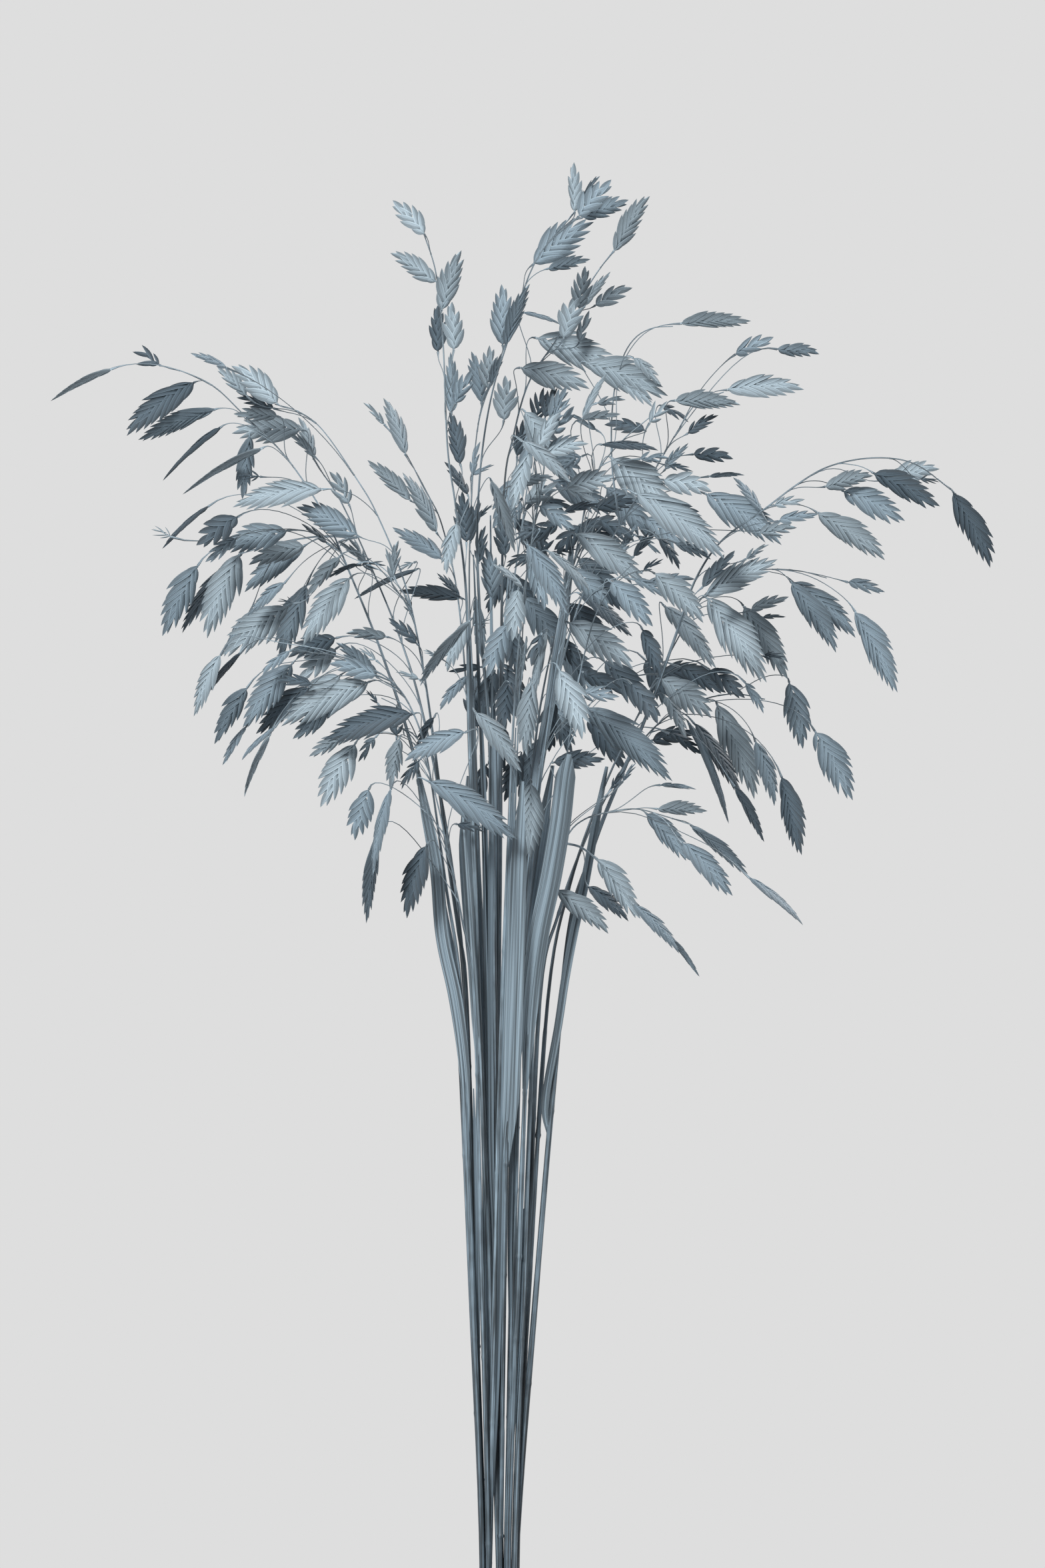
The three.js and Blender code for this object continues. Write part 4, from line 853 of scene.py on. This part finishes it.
def pedicel(batch, foot, direction, base, axis, tone):
    span = np.linalg.norm(base - foot)
    leaving = unit(direction + PEDICEL_TURN_OUT * unit(base - foot))
    a, b = foot, foot + leaving * PEDICEL_RISE * span
    c, d = base - axis * PEDICEL_RUN_IN * span, base
    u = np.linspace(0, 1, PEDICEL_POINTS)[:, None]
    line = a * (1 - u) ** 3 + 3 * b * u * (1 - u) ** 2 + 3 * c * u**2 * (1 - u) + d * u**3
    sway = random.uniform(-PEDICEL_SWAY, PEDICEL_SWAY, 3) * span
    line += np.sin(u * math.pi * random.choice((1, 2, 3))) * sway
    radii = np.interp(u[:, 0], *PEDICEL_RADII)
    tube(batch, line, radii, THIN_SIDES, tone, STEM_SLOT, random.uniform(0, SEEDS))


# Leaves
LEAF_COLUMNS = 23
LEAF_FOLD = 0.14
LEAF_PLEAT = 0.22
LEAF_PLEAT_RATES = (1.3, 2.9)
LEAF_WAVE = 0.3
LEAF_WAVE_RATE = 0.05
LEAF_PHASES = (0, 6)
LEAF_HALF_THICKNESS = 0.12


def leaf_blade(batch, line, breadths, twist, tone):
    """A thin pleated ribbon with a fold along its middle, turned from end to end."""
    across = np.linspace(-1, 1, LEAF_COLUMNS)
    columns = np.concatenate((across, across[::-1]))
    layers = np.repeat((1, -1), LEAF_COLUMNS)
    spine = smooth(line)
    count = len(spine)
    widths = np.interp(np.linspace(0, 1, count), np.linspace(0, 1, len(breadths)), breadths)
    seed = random.uniform(0, SEEDS)
    pleats = random.uniform(*LEAF_PHASES, 3)
    rings, fibre = [], []
    for point, direction, width, distance, turn in zip(
        spine, tangents(spine), widths, lengths_along(spine), np.linspace(*twist, count)
    ):
        side = turned(square(X_AXIS, direction), direction, turn)
        front = np.cross(side, direction)
        out = LEAF_FOLD * width * (np.abs(columns) - 0.5) + LEAF_HALF_THICKNESS * layers
        wave = LEAF_WAVE * np.sin(distance * LEAF_WAVE_RATE + pleats[2])
        for rate, phase in zip(LEAF_PLEAT_RATES, pleats):
            out += LEAF_PLEAT * np.sin(columns * width * rate + phase + wave) / rate
        rings.append(point + np.outer(columns * width / 2, side) + np.outer(out, front))
        same = np.ones(len(columns))
        fibre.append(np.column_stack((distance * same, columns * width, seed * same)))
    faces = ring_faces(count, len(columns))
    batch.add(np.vstack(rings), faces, np.vstack(fibre), tone, LEAF_SLOT)


# Materials
class Graph:
    """A node material that is written from its shader backwards."""

    def __init__(self, name):
        self.material = bpy.data.materials.new(name)
        self.material.use_nodes = True
        self.tree = self.material.node_tree
        self.shader = self.tree.nodes["Principled BSDF"]

    def node(self, kind, inputs, **settings):
        made = self.tree.nodes.new("ShaderNode" + kind)
        for key, value in settings.items():
            setattr(made, key, value)
        for key, value in inputs.items():
            if isinstance(value, bpy.types.NodeSocket):
                self.tree.links.new(value, made.inputs[key])
            else:
                made.inputs[key].default_value = value
        return made

    def math(self, operation, first, second=0.0):
        return self.node("Math", {0: first, 1: second}, operation=operation).outputs[0]

    def times(self, first, second):
        return self.math("MULTIPLY", first, second)

    def plus(self, first, second):
        return self.math("ADD", first, second)

    def span(self, value, source, target):
        """The value, carried smoothly from one range to another."""
        inputs = {"Value": value, "From Min": source[0], "From Max": source[1]}
        inputs.update({"To Min": target[0], "To Max": target[1]})
        return self.node("MapRange", inputs, interpolation_type="SMOOTHSTEP").outputs[0]

    def noise(self, vector, scale, detail=2.0, roughness=0.5):
        inputs = {"Vector": vector, "Scale": scale, "Detail": detail, "Roughness": roughness}
        return self.node("TexNoise", inputs).outputs["Fac"]

    def combine(self, x, y, z):
        return self.node("CombineXYZ", {0: x, 1: y, 2: z}).outputs[0]

    def attribute(self, name, output):
        return self.node("Attribute", {}, attribute_name=name).outputs[output]

    def fibre(self):
        """Where the surface lies on its floret, stem or leaf, and the seed of that body."""
        return self.node("SeparateXYZ", {0: self.attribute("fibre", "Vector")}).outputs

    def place(self):
        return self.node("TexCoord", {}).outputs["Object"]

    def mix(self, factor, first, second, blend="MIX"):
        inputs = {0: factor, 6: first, 7: second}
        return self.node("Mix", inputs, data_type="RGBA", blend_type=blend).outputs[2]

    def ramp(self, factor, stops):
        made = self.node("ValToRGB", {0: factor})
        ramp = made.color_ramp
        while len(ramp.elements) < len(stops):
            ramp.elements.new(1.0)
        for element, (position, colour) in zip(ramp.elements, stops):
            element.position = position
            element.color = (*colour, 1)
        return made.outputs[0]

    def tone(self):
        """The colour of the grass, from light to dark, partly its own and partly painted shade."""
        tone = self.math("DIVIDE", self.attribute("tone", "Fac"), 2.0)
        return self.ramp(tone, TONES)

    def shaded(self, shade):
        grey = self.node("CombineColor", {0: shade, 1: shade, 2: shade}).outputs[0]
        return self.mix(1.0, self.tone(), grey, "MULTIPLY")

    def bump(self, height, strength, distance):
        inputs = {"Height": height, "Strength": strength, "Distance": distance}
        self.tree.links.new(self.node("Bump", inputs).outputs[0], self.shader.inputs["Normal"])

    def finish(self, colour, roughness, specular=0.3):
        self.tree.links.new(colour, self.shader.inputs["Base Color"])
        self.tree.links.new(roughness, self.shader.inputs["Roughness"])
        self.shader.inputs["Specular IOR Level"].default_value = specular
        return self.material


TONES = ((0.0, (0.189, 0.242, 0.283)), (0.5, (0.133, 0.182, 0.224)), (1.0, (0.039, 0.059, 0.078)))
# A pale free margin on each floret, partly its own colour and partly a painted highlight
PALE_MARGIN_HIGHLIGHT = (1.75, 1.72, 1.68, 1)
MOST = (0.3, 0.7)  # where most of a noise lies
WHOLE = (0.0, 1.0)


def floret_material():
    graph = Graph("dry_floret")
    u, v, seed = graph.fibre()
    broad = graph.noise(graph.combine(graph.times(u, 1.6), graph.times(v, 9.0), seed), scale=1.5)
    fine = graph.noise(graph.combine(graph.times(u, 4.0), graph.times(v, 34.0), seed), scale=1.0)
    nerve = graph.math("SINE", graph.times(v, 32.0))
    streak = graph.plus(graph.times(graph.plus(broad, fine), 0.42), graph.times(nerve, 0.11))
    # Painted shade: darker where it is tucked under the next floret and toward its base
    painted_tuck_shade = graph.times(
        graph.span(v, (0.38, 0.62), (0.66, 1.0)), graph.span(u, (0.0, 0.2), (0.8, 1.0))
    )
    shade = graph.times(graph.span(streak, (0.18, 0.68), (0.7, 1.32)), painted_tuck_shade)
    shade = graph.times(shade, graph.span(u, (0.1, 1.0), (1.12, 0.8)))
    # Its free edge is paler, partly a pale margin and partly a painted highlight
    edge = graph.times(graph.span(v, (0.84, 0.95), WHOLE), 0.6)
    pale_highlit_margin = graph.mix(1.0, graph.tone(), PALE_MARGIN_HIGHLIGHT, "MULTIPLY")
    colour = graph.mix(edge, graph.shaded(shade), pale_highlit_margin)
    graph.bump(streak, strength=0.4, distance=0.0003)
    return graph.finish(colour, graph.span(broad, MOST, (0.55, 0.75)))


def stem_material():
    graph = Graph("dry_stem")
    along, angle, seed = graph.fibre()
    drawn_out = graph.plus(graph.times(along, 0.012), seed)
    place = graph.combine(graph.math("COSINE", angle), graph.math("SINE", angle), drawn_out)
    rib = graph.noise(place, scale=1.9, detail=1.0)
    fine = graph.noise(place, scale=7.0, roughness=0.6)
    patches = graph.noise(graph.combine(graph.times(along, 0.1), seed, 0.0), scale=1.0)
    height = graph.plus(graph.times(rib, 0.65), graph.times(fine, 0.35))
    # Darker in the grooves between ribs, partly the stem's own striping and partly painted shade
    ribs_and_groove_shade = graph.span(height, (0.4, 0.6), (0.26, 1.4))
    colour = graph.shaded(graph.times(ribs_and_groove_shade, graph.span(patches, MOST, (0.75, 1.15))))
    graph.bump(height, strength=0.7, distance=0.0004)
    return graph.finish(colour, graph.span(fine, MOST, (0.42, 0.6)), specular=0.35)


def leaf_material():
    graph = Graph("dry_leaf")
    along, across, seed = graph.fibre()
    drawn_out = graph.times(along, 0.01)
    wide = graph.combine(drawn_out, graph.times(across, 0.55), seed)
    bands = graph.noise(wide, scale=1.0, detail=1.0)
    narrow = graph.combine(drawn_out, graph.times(across, 1.9), seed)
    veins = graph.noise(narrow, scale=1.0, roughness=0.6)
    height = graph.plus(graph.times(bands, 0.5), graph.times(veins, 0.5))
    colour = graph.shaded(graph.span(height, (0.39, 0.61), (0.4, 1.38)))
    graph.bump(veins, strength=0.8, distance=0.0004)
    return graph.finish(colour, graph.span(veins, MOST, (0.45, 0.65)))


def pot_material():
    graph = Graph("stoneware")
    place = graph.place()
    cloud = graph.noise(place, scale=16.0, detail=4.0, roughness=0.6)
    grain = graph.noise(place, scale=900.0, roughness=0.7)
    clay = ((0.0, (0.235, 0.27, 0.295)), (1.0, (0.33, 0.37, 0.395)))
    body = graph.ramp(graph.span(cloud, MOST, WHOLE), clay)
    coarse = graph.noise(place, scale=420.0, detail=1.0, roughness=0.4)
    dark_specks = graph.span(coarse, (0.66, 0.72), WHOLE)
    body = graph.mix(graph.times(dark_specks, 0.7), body, (0.08, 0.095, 0.11, 1))
    coarser = graph.noise(place, scale=300.0, detail=1.0, roughness=0.4)
    pale_specks = graph.span(coarser, (0.68, 0.74), (0.0, 0.5))
    body = graph.mix(pale_specks, body, (0.55, 0.6, 0.62, 1))
    height = graph.plus(graph.times(grain, 0.4), graph.times(cloud, 0.6))
    graph.bump(height, strength=0.35, distance=0.0006)
    return graph.finish(body, graph.span(cloud, MOST, (0.62, 0.8)))


def soil_material():
    graph = Graph("potting_soil")
    place = graph.place()
    clod = graph.noise(place, scale=180.0, detail=4.0, roughness=0.7)
    crumb = graph.noise(place, scale=900.0, detail=3.0, roughness=0.7)
    mixed = graph.times(graph.plus(clod, crumb), 0.5)
    earth = ((0.0, (0.014, 0.012, 0.011)), (0.6, (0.045, 0.04, 0.036)), (1.0, (0.1, 0.09, 0.08)))
    colour = graph.ramp(graph.span(mixed, (0.35, 0.65), WHOLE), earth)
    graph.bump(mixed, strength=0.9, distance=0.001)
    return graph.finish(colour, graph.span(crumb, MOST, (0.8, 1.0)), specular=0.2)


GRASS = (stem_material(), floret_material(), leaf_material())


# The plant
NODE_FIRST = 40
NODE_FIRST_VARIES = (0, 35)
NODE_SPACINGS = (70, 110)
NODE_LAST_SHARE = 0.72
NODE_ROOM = 25
NODE_LENGTH = 0.9
NODE_RINGS = np.array((-1.4, -0.8, -0.3, 0.3, 0.9))
SEEN_NODE = 0.35
PLAIN_NODE = 0.12
SHEATH_LENGTH = 40
SHEATH_SHARE = 0.3
STEM_STEP = 2.0
STEM_LAST_STEP = 0.2
STEM_SIDES = 10
STEM_RADII = ((0, 0.45, 0.68, 0.82, 1), (1.18, 1.05, 0.66, 0.36, 0.23))
STEM_GIRTHS = (0.75, 1.0)
STEM_TONE = 1.25
# Stems whose waist stands further back are darker, a painted shade
STEM_PAINTED_SHADE_BY_DEPTH = 0.35
STEM_TONE_VARIES = (-0.3, 0.3)
DEEPEST_WAIST = 6.6
# Stems and pedicels are paler where they are thin
THIN_TONES = ((0.72, 0.97), (0, -0.7))
PEDICEL_TONE = -0.65
# Leaves that stand behind their stem are darker, a painted shade
LEAF_TONES_BACK_SHADED = {-1: 0.6, 1: 1.0}
LEAF_TONE_VARIES = (-0.15, 0.15)
LEAF_FOOT_SHARE = 0.5
GRASS_CREASE = 48

# Narrow dead leaves inside the bunch, by culm: the culm beside it, the heights between
# which it runs and its breadth
NARROW_OUTLINE = np.array((0.5, 0.9, 1, 1, 0.8, 0.2))
NARROW_PARTING = 60
NARROW_POINTS = 9
NARROW_TWISTS = (-0.6, 0.6)
NARROW_TONES = (1.0, 1.7)
NARROW_LEAVES = {
    "culm_upright_left": (("culm_upright_centre", 180, 520, 2.2), ("culm_top", 150, 470, 1.8)),
    "culm_upright_centre": (("culm_top", 165, 545, 2.2), ("culm_back_left", 210, 500, 2.4)),
    "culm_top": (("culm_back_centre", 190, 505, 2.2), ("culm_upper_right", 170, 560, 2)),
    "culm_centre_front": (("culm_front", 175, 480, 2), ("culm_upright_left", 260, 500, 2.2)),
    "culm_back_centre": (("culm_upper_right", 180, 540, 2.4),),
    "culm_right_centre": (("culm_right_high", 170, 360, 2), ("culm_front", 230, 455, 2)),
    "culm_right_high": (("culm_back_right", 200, 350, 2.2),),
    "culm_back_right": (("culm_back_far", 180, 330, 2.4),),
    "culm_left_high": (("culm_left_long", 200, 330, 1.8), ("culm_left_front", 230, 345, 1.8)),
    "culm_left_long": (("culm_left_back", 180, 340, 2),),
    "culm_back_left": (("culm_left_back", 220, 360, 2.2),),
    "culm_front_right": (("culm_right_low", 200, 300, 1.8),),
    "culm_right_mid": (("culm_right_back", 190, 290, 1.8),),
}


def cad_tip_depth(name, x, z):
    """How deep the solid's own spikelet tip lies, in millimetres."""
    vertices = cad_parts[name].data.vertices
    places = np.empty(len(vertices) * 3, np.float32)
    vertices.foreach_get("co", places)
    places = places.reshape(-1, 3) / MM
    return float(places[np.hypot(places[:, 0] - x, places[:, 2] - z).argmin(), 1])


def lean_of(number):
    return math.tan(math.radians(LEAN_DEGREES) * math.sin(LEAN_STEP * number + 1))


def free_depth(tone, number, gap):
    spread = DEPTH_SPREAD + DEPTH_SPREAD_PER_GAP * min(WIDEST_GAP, gap)
    return TONE_DEPTH[tone] + spread * math.sin(GOLDEN_TURN * number)


def line_between(first, second, low, high):
    """A line that starts on one stem and rises midway between it and the next."""
    heights = np.linspace(low, high, NARROW_POINTS)
    rows = []
    for line in (first, second):
        rising = line[: int(line[:, 2].argmax()) + 1]
        rows.append([np.interp(heights, rising[:, 2], rising[:, axis]) for axis in range(3)])
    apart = 0.5 * np.clip((heights - low) / NARROW_PARTING, 0, 1)
    return (np.array(rows[0]) * (1 - apart) + np.array(rows[1]) * apart).T


def stem_nodes(line, marks):
    """The distances of a stem's nodes, seen ones and plain ones, and how far they swell."""
    found = [(nearest(line, x, z)[1], SEEN_NODE) for x, z in marks]
    distance = NODE_FIRST + random.uniform(*NODE_FIRST_VARIES)
    end = lengths_along(line)[-1] * NODE_LAST_SHARE
    while distance < end:
        if all(abs(distance - other) > NODE_ROOM for other, _ in found):
            found.append((distance, PLAIN_NODE))
        distance += random.uniform(*NODE_SPACINGS)
    return sorted(found)


def grow_stem(batch, line, first, nodes, girth, tone):
    """A stem or branch. It takes its taper from the first share on."""
    travelled = lengths_along(line)
    end = travelled[-1]
    dense = [np.arange(0, end, STEM_STEP), *(node + NODE_RINGS for node, _ in nodes)]
    dense = np.unique(np.clip(np.concatenate(dense), 0, end))
    dense = np.append(dense[dense < end - STEM_LAST_STEP], end)
    points = np.column_stack([np.interp(dense, travelled, line[:, axis]) for axis in range(3)])
    share = first + (1 - first) * dense / end
    radii = girth * np.interp(share, *STEM_RADII)
    for node, swell in nodes:
        sheath = (dense > node) & (dense < node + SHEATH_LENGTH)
        radii += swell * np.exp(-(((dense - node) / NODE_LENGTH) ** 2))
        radii += np.where(sheath, SHEATH_SHARE * swell, 0)
    tones = tone + np.interp(share, *THIN_TONES)
    tube(batch, points, radii, STEM_SIDES, tones, STEM_SLOT, random.uniform(0, SEEDS))


def grow_leaves(batch, name, culm):
    stem = lines[name]
    if "leaf" in culm:
        side = culm["leaf_side"]
        breadths = [breadth for _, _, breadth in culm["leaf"]]
        breadths[0] *= LEAF_FOOT_SHARE
        # Painted shade on leaves behind their stem
        tone = LEAF_TONES_BACK_SHADED[side] + random.uniform(*LEAF_TONE_VARIES)
        leaf_blade(batch, leaf_line(stem, culm["leaf"], side), breadths, (0, 0), tone)
    for neighbour, low, high, breadth in NARROW_LEAVES.get(name, ()):
        blade = line_between(stem, lines[neighbour], low, high)
        twist = random.uniform(*NARROW_TWISTS, 2)
        tone = random.uniform(*NARROW_TONES)
        leaf_blade(batch, blade, breadth * NARROW_OUTLINE, twist, tone)


def grow_spikelets(batch, name, culm, axes, tone):
    """The spikelets of a culm, each with its pedicel from the nearest stem."""
    solid = len(culm["spikelets"])
    for number, row in enumerate((*culm["spikelets"], *culm.get("buds", ()))):
        base_x, base_z, tip_x, tip_z, breadth_seen, own_tone = row
        gap, distance, stem = min(
            ((*nearest(stem, base_x, base_z), stem) for stem in axes),
            key=lambda option: option[0],
        )
        distance -= FOOT_DROP_PER_GAP * gap + FOOT_DROP
        level = point_at(stem, distance)[0]
        rise = lean_of(number) * math.hypot(tip_x - base_x, tip_z - base_z)
        if number < solid:
            base_y = cad_tip_depth(name, tip_x, tip_z) - rise
        else:
            base_y = level[1] + free_depth(own_tone, number, gap)
        base = np.array((base_x, base_y, base_z))
        tip = np.array((tip_x, base_y + rise, tip_z))
        sign = 1 if number % 2 == 0 else -1
        axis = spikelet(batch, base, tip, breadth_seen, sign, own_tone)
        distance -= FOOT_DROP_PER_DEPTH * abs(base_y - level[1])
        pedicel(batch, *point_at(stem, distance), base, axis, tone + PEDICEL_TONE)


lines = {name: smooth(culm_line(culm)) for name, culm in CULMS.items()}
marks = {name: [] for name in CULMS}
for x, z in NODE_MARKS:
    closest = min(lines, key=lambda name: nearest(lines[name], x, z)[0])
    marks[closest].append((x, z))

for name, culm in CULMS.items():
    batch = Batch()
    stem = lines[name]
    # Painted shade: stems further back get a darker tone
    painted_depth_shade = STEM_PAINTED_SHADE_BY_DEPTH * culm["waist"][1] / DEEPEST_WAIST
    stem_tone = STEM_TONE + painted_depth_shade + random.uniform(*STEM_TONE_VARIES)
    girth = random.uniform(*STEM_GIRTHS)
    grow_stem(batch, stem, 0, stem_nodes(stem, marks[name]), girth, stem_tone)
    axes = [stem]
    if "branch" in culm:
        axes.append(smooth(branch_line(stem, culm["branch"])))
        grow_stem(batch, axes[-1], BRANCH_START, (), girth, stem_tone)
    grow_leaves(batch, name, culm)
    grow_spikelets(batch, name, culm, axes, stem_tone)
    piece = batch.build(name.replace("culm", "grass"), GRASS, GRASS_CREASE)
    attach(piece, "root")
    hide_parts(name)


# Pot and soil
POT_SIDES = 128
POT_CREASE = 35
BAND_FOOT = POT_HEIGHT - RIM_BAND_HEIGHT
BAND_LIFT = 1.2
WALL_HEIGHTS = np.linspace(5, BAND_FOOT - 2, 60)
WALL_CURVE = 0.9
RIDGE = 0.12
RIDGE_RATE = 0.9
OUT_OF_ROUND = 0.06
OUT_OF_ROUND_TURNS = 3
OUT_OF_ROUND_RATE = 0.05
TRUE_BASE = 4
TRUE_LIP = 1
FLAT_RUN = 24
EDGE = 2
LIP = 2.5
INNER_LIP = 1.5
INNER_LIP_RADIUS = POT_RIM_RADIUS - POT_WALL + INNER_LIP
INNER_BASE = POT_BASE_RADIUS - POT_WALL + 1
INNER_HEIGHTS = (130, 110, 60, POT_FLOOR + EDGE)

SOIL_SIDES = 96
SOIL_CREASE = 25
SOIL_RINGS = 44
SOIL_MIDDLE = 1.0
SOIL_SUNK = 0.8
SOIL_ROUND = 3
SOIL_EDGE_STEP = 0.8
SOIL_EDGE_DROP = 2.2
WAVES = 24
WAVE_RATES = (-0.35, 0.35)
WAVE_PHASES = (0, 6.28)
WAVE_SIZES = (0.15, 0.5)
WAVE_SHARE = 0.5
CRUMBS = 1500
CRUMB_MARGIN = 3.5
CRUMB_LEAST = 0.6
CRUMB_SPREAD = 2.0
CRUMB_LIFT = 0.15
CRUMB_SHAPES = (0.65, 1.2)
CRUMB_BELT = 0.8944
CRUMB_BELT_HEIGHT = 0.45


def wall_radius(z):
    spread = POT_RIM_RADIUS - RIM_BAND_STEP - POT_BASE_RADIUS
    return POT_BASE_RADIUS + spread * (z / BAND_FOOT) ** WALL_CURVE


def inner_radius(z):
    slope = (POT_RIM_RADIUS - POT_WALL - INNER_BASE) / (POT_HEIGHT - POT_FLOOR)
    return INNER_BASE + (z - POT_FLOOR) * slope


def rounded(radius, z, size, start, end, steps):
    """An arc in section, between two angles in degrees."""
    angles = np.radians(np.linspace(start, end, steps))
    return [(radius + size * math.cos(a), z + size * math.sin(a)) for a in angles]


def pot_profile():
    """The pot in section: its base, up the outside, over the rim and down the inside."""
    return (
        (POT_BASE_RADIUS - FLAT_RUN, 0),
        (POT_BASE_RADIUS - EDGE, 0),
        *rounded(POT_BASE_RADIUS - EDGE, EDGE, EDGE, -60, 0, 4),
        *((wall_radius(z) + RIDGE * math.sin(z * RIDGE_RATE), z) for z in WALL_HEIGHTS),
        *rounded(POT_RIM_RADIUS - EDGE, BAND_FOOT + BAND_LIFT, EDGE, -70, 0, 5),
        *rounded(POT_RIM_RADIUS - LIP, POT_HEIGHT - LIP, LIP, 10, 90, 6),
        *rounded(INNER_LIP_RADIUS, POT_HEIGHT - INNER_LIP, INNER_LIP, 100, 180, 5),
        *((inner_radius(z), z) for z in INNER_HEIGHTS),
        (INNER_BASE - EDGE, POT_FLOOR),
        (INNER_BASE - FLAT_RUN, POT_FLOOR),
    )


def make_pot():
    angles = around(POT_SIDES)
    rings = []
    for radius, z in pot_profile():
        out = OUT_OF_ROUND if TRUE_BASE < z < POT_HEIGHT - TRUE_LIP else 0
        swell = out * np.sin(OUT_OF_ROUND_TURNS * angles + z * OUT_OF_ROUND_RATE)
        rings.append(circle(radius + swell, angles, z))
    batch = Batch()
    faces = [tuple(reversed(face)) for face in ring_faces(len(rings), POT_SIDES)]
    batch.add(np.vstack(rings), faces)
    return batch.build("pot_stoneware", (pot_material(),), POT_CREASE)


def crumb_template():
    """The corners and faces of an icosahedron."""
    corners = [(0, 0, 1)]
    for start, z in ((0, CRUMB_BELT_HEIGHT), (36, -CRUMB_BELT_HEIGHT)):
        for angle in np.radians(np.arange(start, start + 360, 72)):
            x, y = CRUMB_BELT * math.cos(angle), CRUMB_BELT * math.sin(angle)
            corners.append((round(x, 2), round(y, 2), z))
    corners.append((0, 0, -1))
    beside = [(1 + side, 1 + (side + 1) % 5) for side in range(5)]
    faces = [(0, a, b) for a, b in beside]
    faces += [(a, a + 5, b) for a, b in beside]
    faces += [(a + 5, b + 5, b) for a, b in beside]
    faces += [(a + 5, 11, b + 5) for a, b in beside]
    return np.array(corners), faces


def make_soil():
    edge = inner_radius(SOIL_TOP - SOIL_ROUND) - 2 * GAP
    angles = around(SOIL_SIDES)
    waves = [
        (random.uniform(*WAVE_RATES, 2), random.uniform(*WAVE_PHASES), random.uniform(*WAVE_SIZES))
        for _ in range(WAVES)
    ]

    def surface(x, y):
        bumps = sum(size * np.sin(way[0] * x + way[1] * y + phase) for way, phase, size in waves)
        return SOIL_TOP - SOIL_SUNK + WAVE_SHARE * bumps

    rings = [circle(INNER_BASE - 2 * GAP, angles, POT_FLOOR + GAP)]
    for radius in (edge, *np.linspace(edge - SOIL_EDGE_STEP, SOIL_MIDDLE, SOIL_RINGS)):
        z = surface(radius * np.cos(angles), radius * np.sin(angles))
        rings.append(circle(radius, angles, z - (SOIL_EDGE_DROP if radius == edge else 0)))
    batch = Batch()
    batch.add(np.vstack(rings), ring_faces(len(rings), SOIL_SIDES))
    corners, faces = crumb_template()
    for _ in range(CRUMBS):
        radius = (edge - CRUMB_MARGIN) * math.sqrt(random.random())
        angle = random.uniform(0, TURN)
        x, y = radius * math.cos(angle), radius * math.sin(angle)
        size = CRUMB_LEAST + CRUMB_SPREAD * random.random() ** 3
        lump = corners * size * random.uniform(*CRUMB_SHAPES, corners.shape)
        batch.add(lump + (x, y, surface(x, y) + CRUMB_LIFT * size), faces)
    return batch.build("soil_crumbs", (soil_material(),), SOIL_CREASE)


for piece, node, slot in (
    (make_pot(), "pot", "stoneware"),
    (make_soil(), "soil", "soil"),
):
    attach(piece, "root")
    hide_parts(node)


# Floor, backdrop and light, in metres
FLOOR_RADIUS = 1.4
FLOOR_SIDES = 96
FLOOR_CREASE = 30
BACKDROP = (0.7305, 0.7305, 0.7305, 1)


def floor_material():
    graph = Graph("pale_floor")
    soft = graph.noise(graph.place(), scale=6.0)
    tint = graph.mix(graph.times(soft, 0.04), (0.42, 0.42, 0.42, 1), (0.5, 0.5, 0.5, 1))
    return graph.finish(tint, graph.span(soft, MOST, (0.8, 0.85)), specular=0.2)


floor_batch = Batch()
floor_batch.add(circle(FLOOR_RADIUS / MM, around(FLOOR_SIDES), 0), [tuple(range(FLOOR_SIDES))])
floor = floor_batch.build("floor", (floor_material(),), FLOOR_CREASE)

world = bpy.data.worlds.new("studio")
world.use_nodes = True
background = world.node_tree.nodes["Background"]
background.inputs["Color"].default_value = BACKDROP
background.inputs["Strength"].default_value = 1.0
bpy.context.scene.world = world


def area_light(name, place, target, size, power, colour):
    data = bpy.data.lights.new(name, "AREA")
    data.shape = "DISK"
    data.size = size
    data.energy = power
    data.color = colour
    light = bpy.data.objects.new(name, data)
    x, y, z = np.array(place) - np.array(target)
    light.location = place
    light.rotation_euler = (math.atan2(math.hypot(x, y), z), 0, math.atan2(y, x) + math.pi / 2)
    bpy.context.scene.collection.objects.link(light)


area_light("key", (-0.65, -1.8, 1.35), (0, 0, 0.5), 0.4, 61, (1, 0.975, 0.94))
area_light("rim", (1.1, 1.4, 1.5), (0, 0, 0.45), 0.8, 26, (1, 1, 1))
bpy.context.scene.view_settings.view_transform = "Standard"
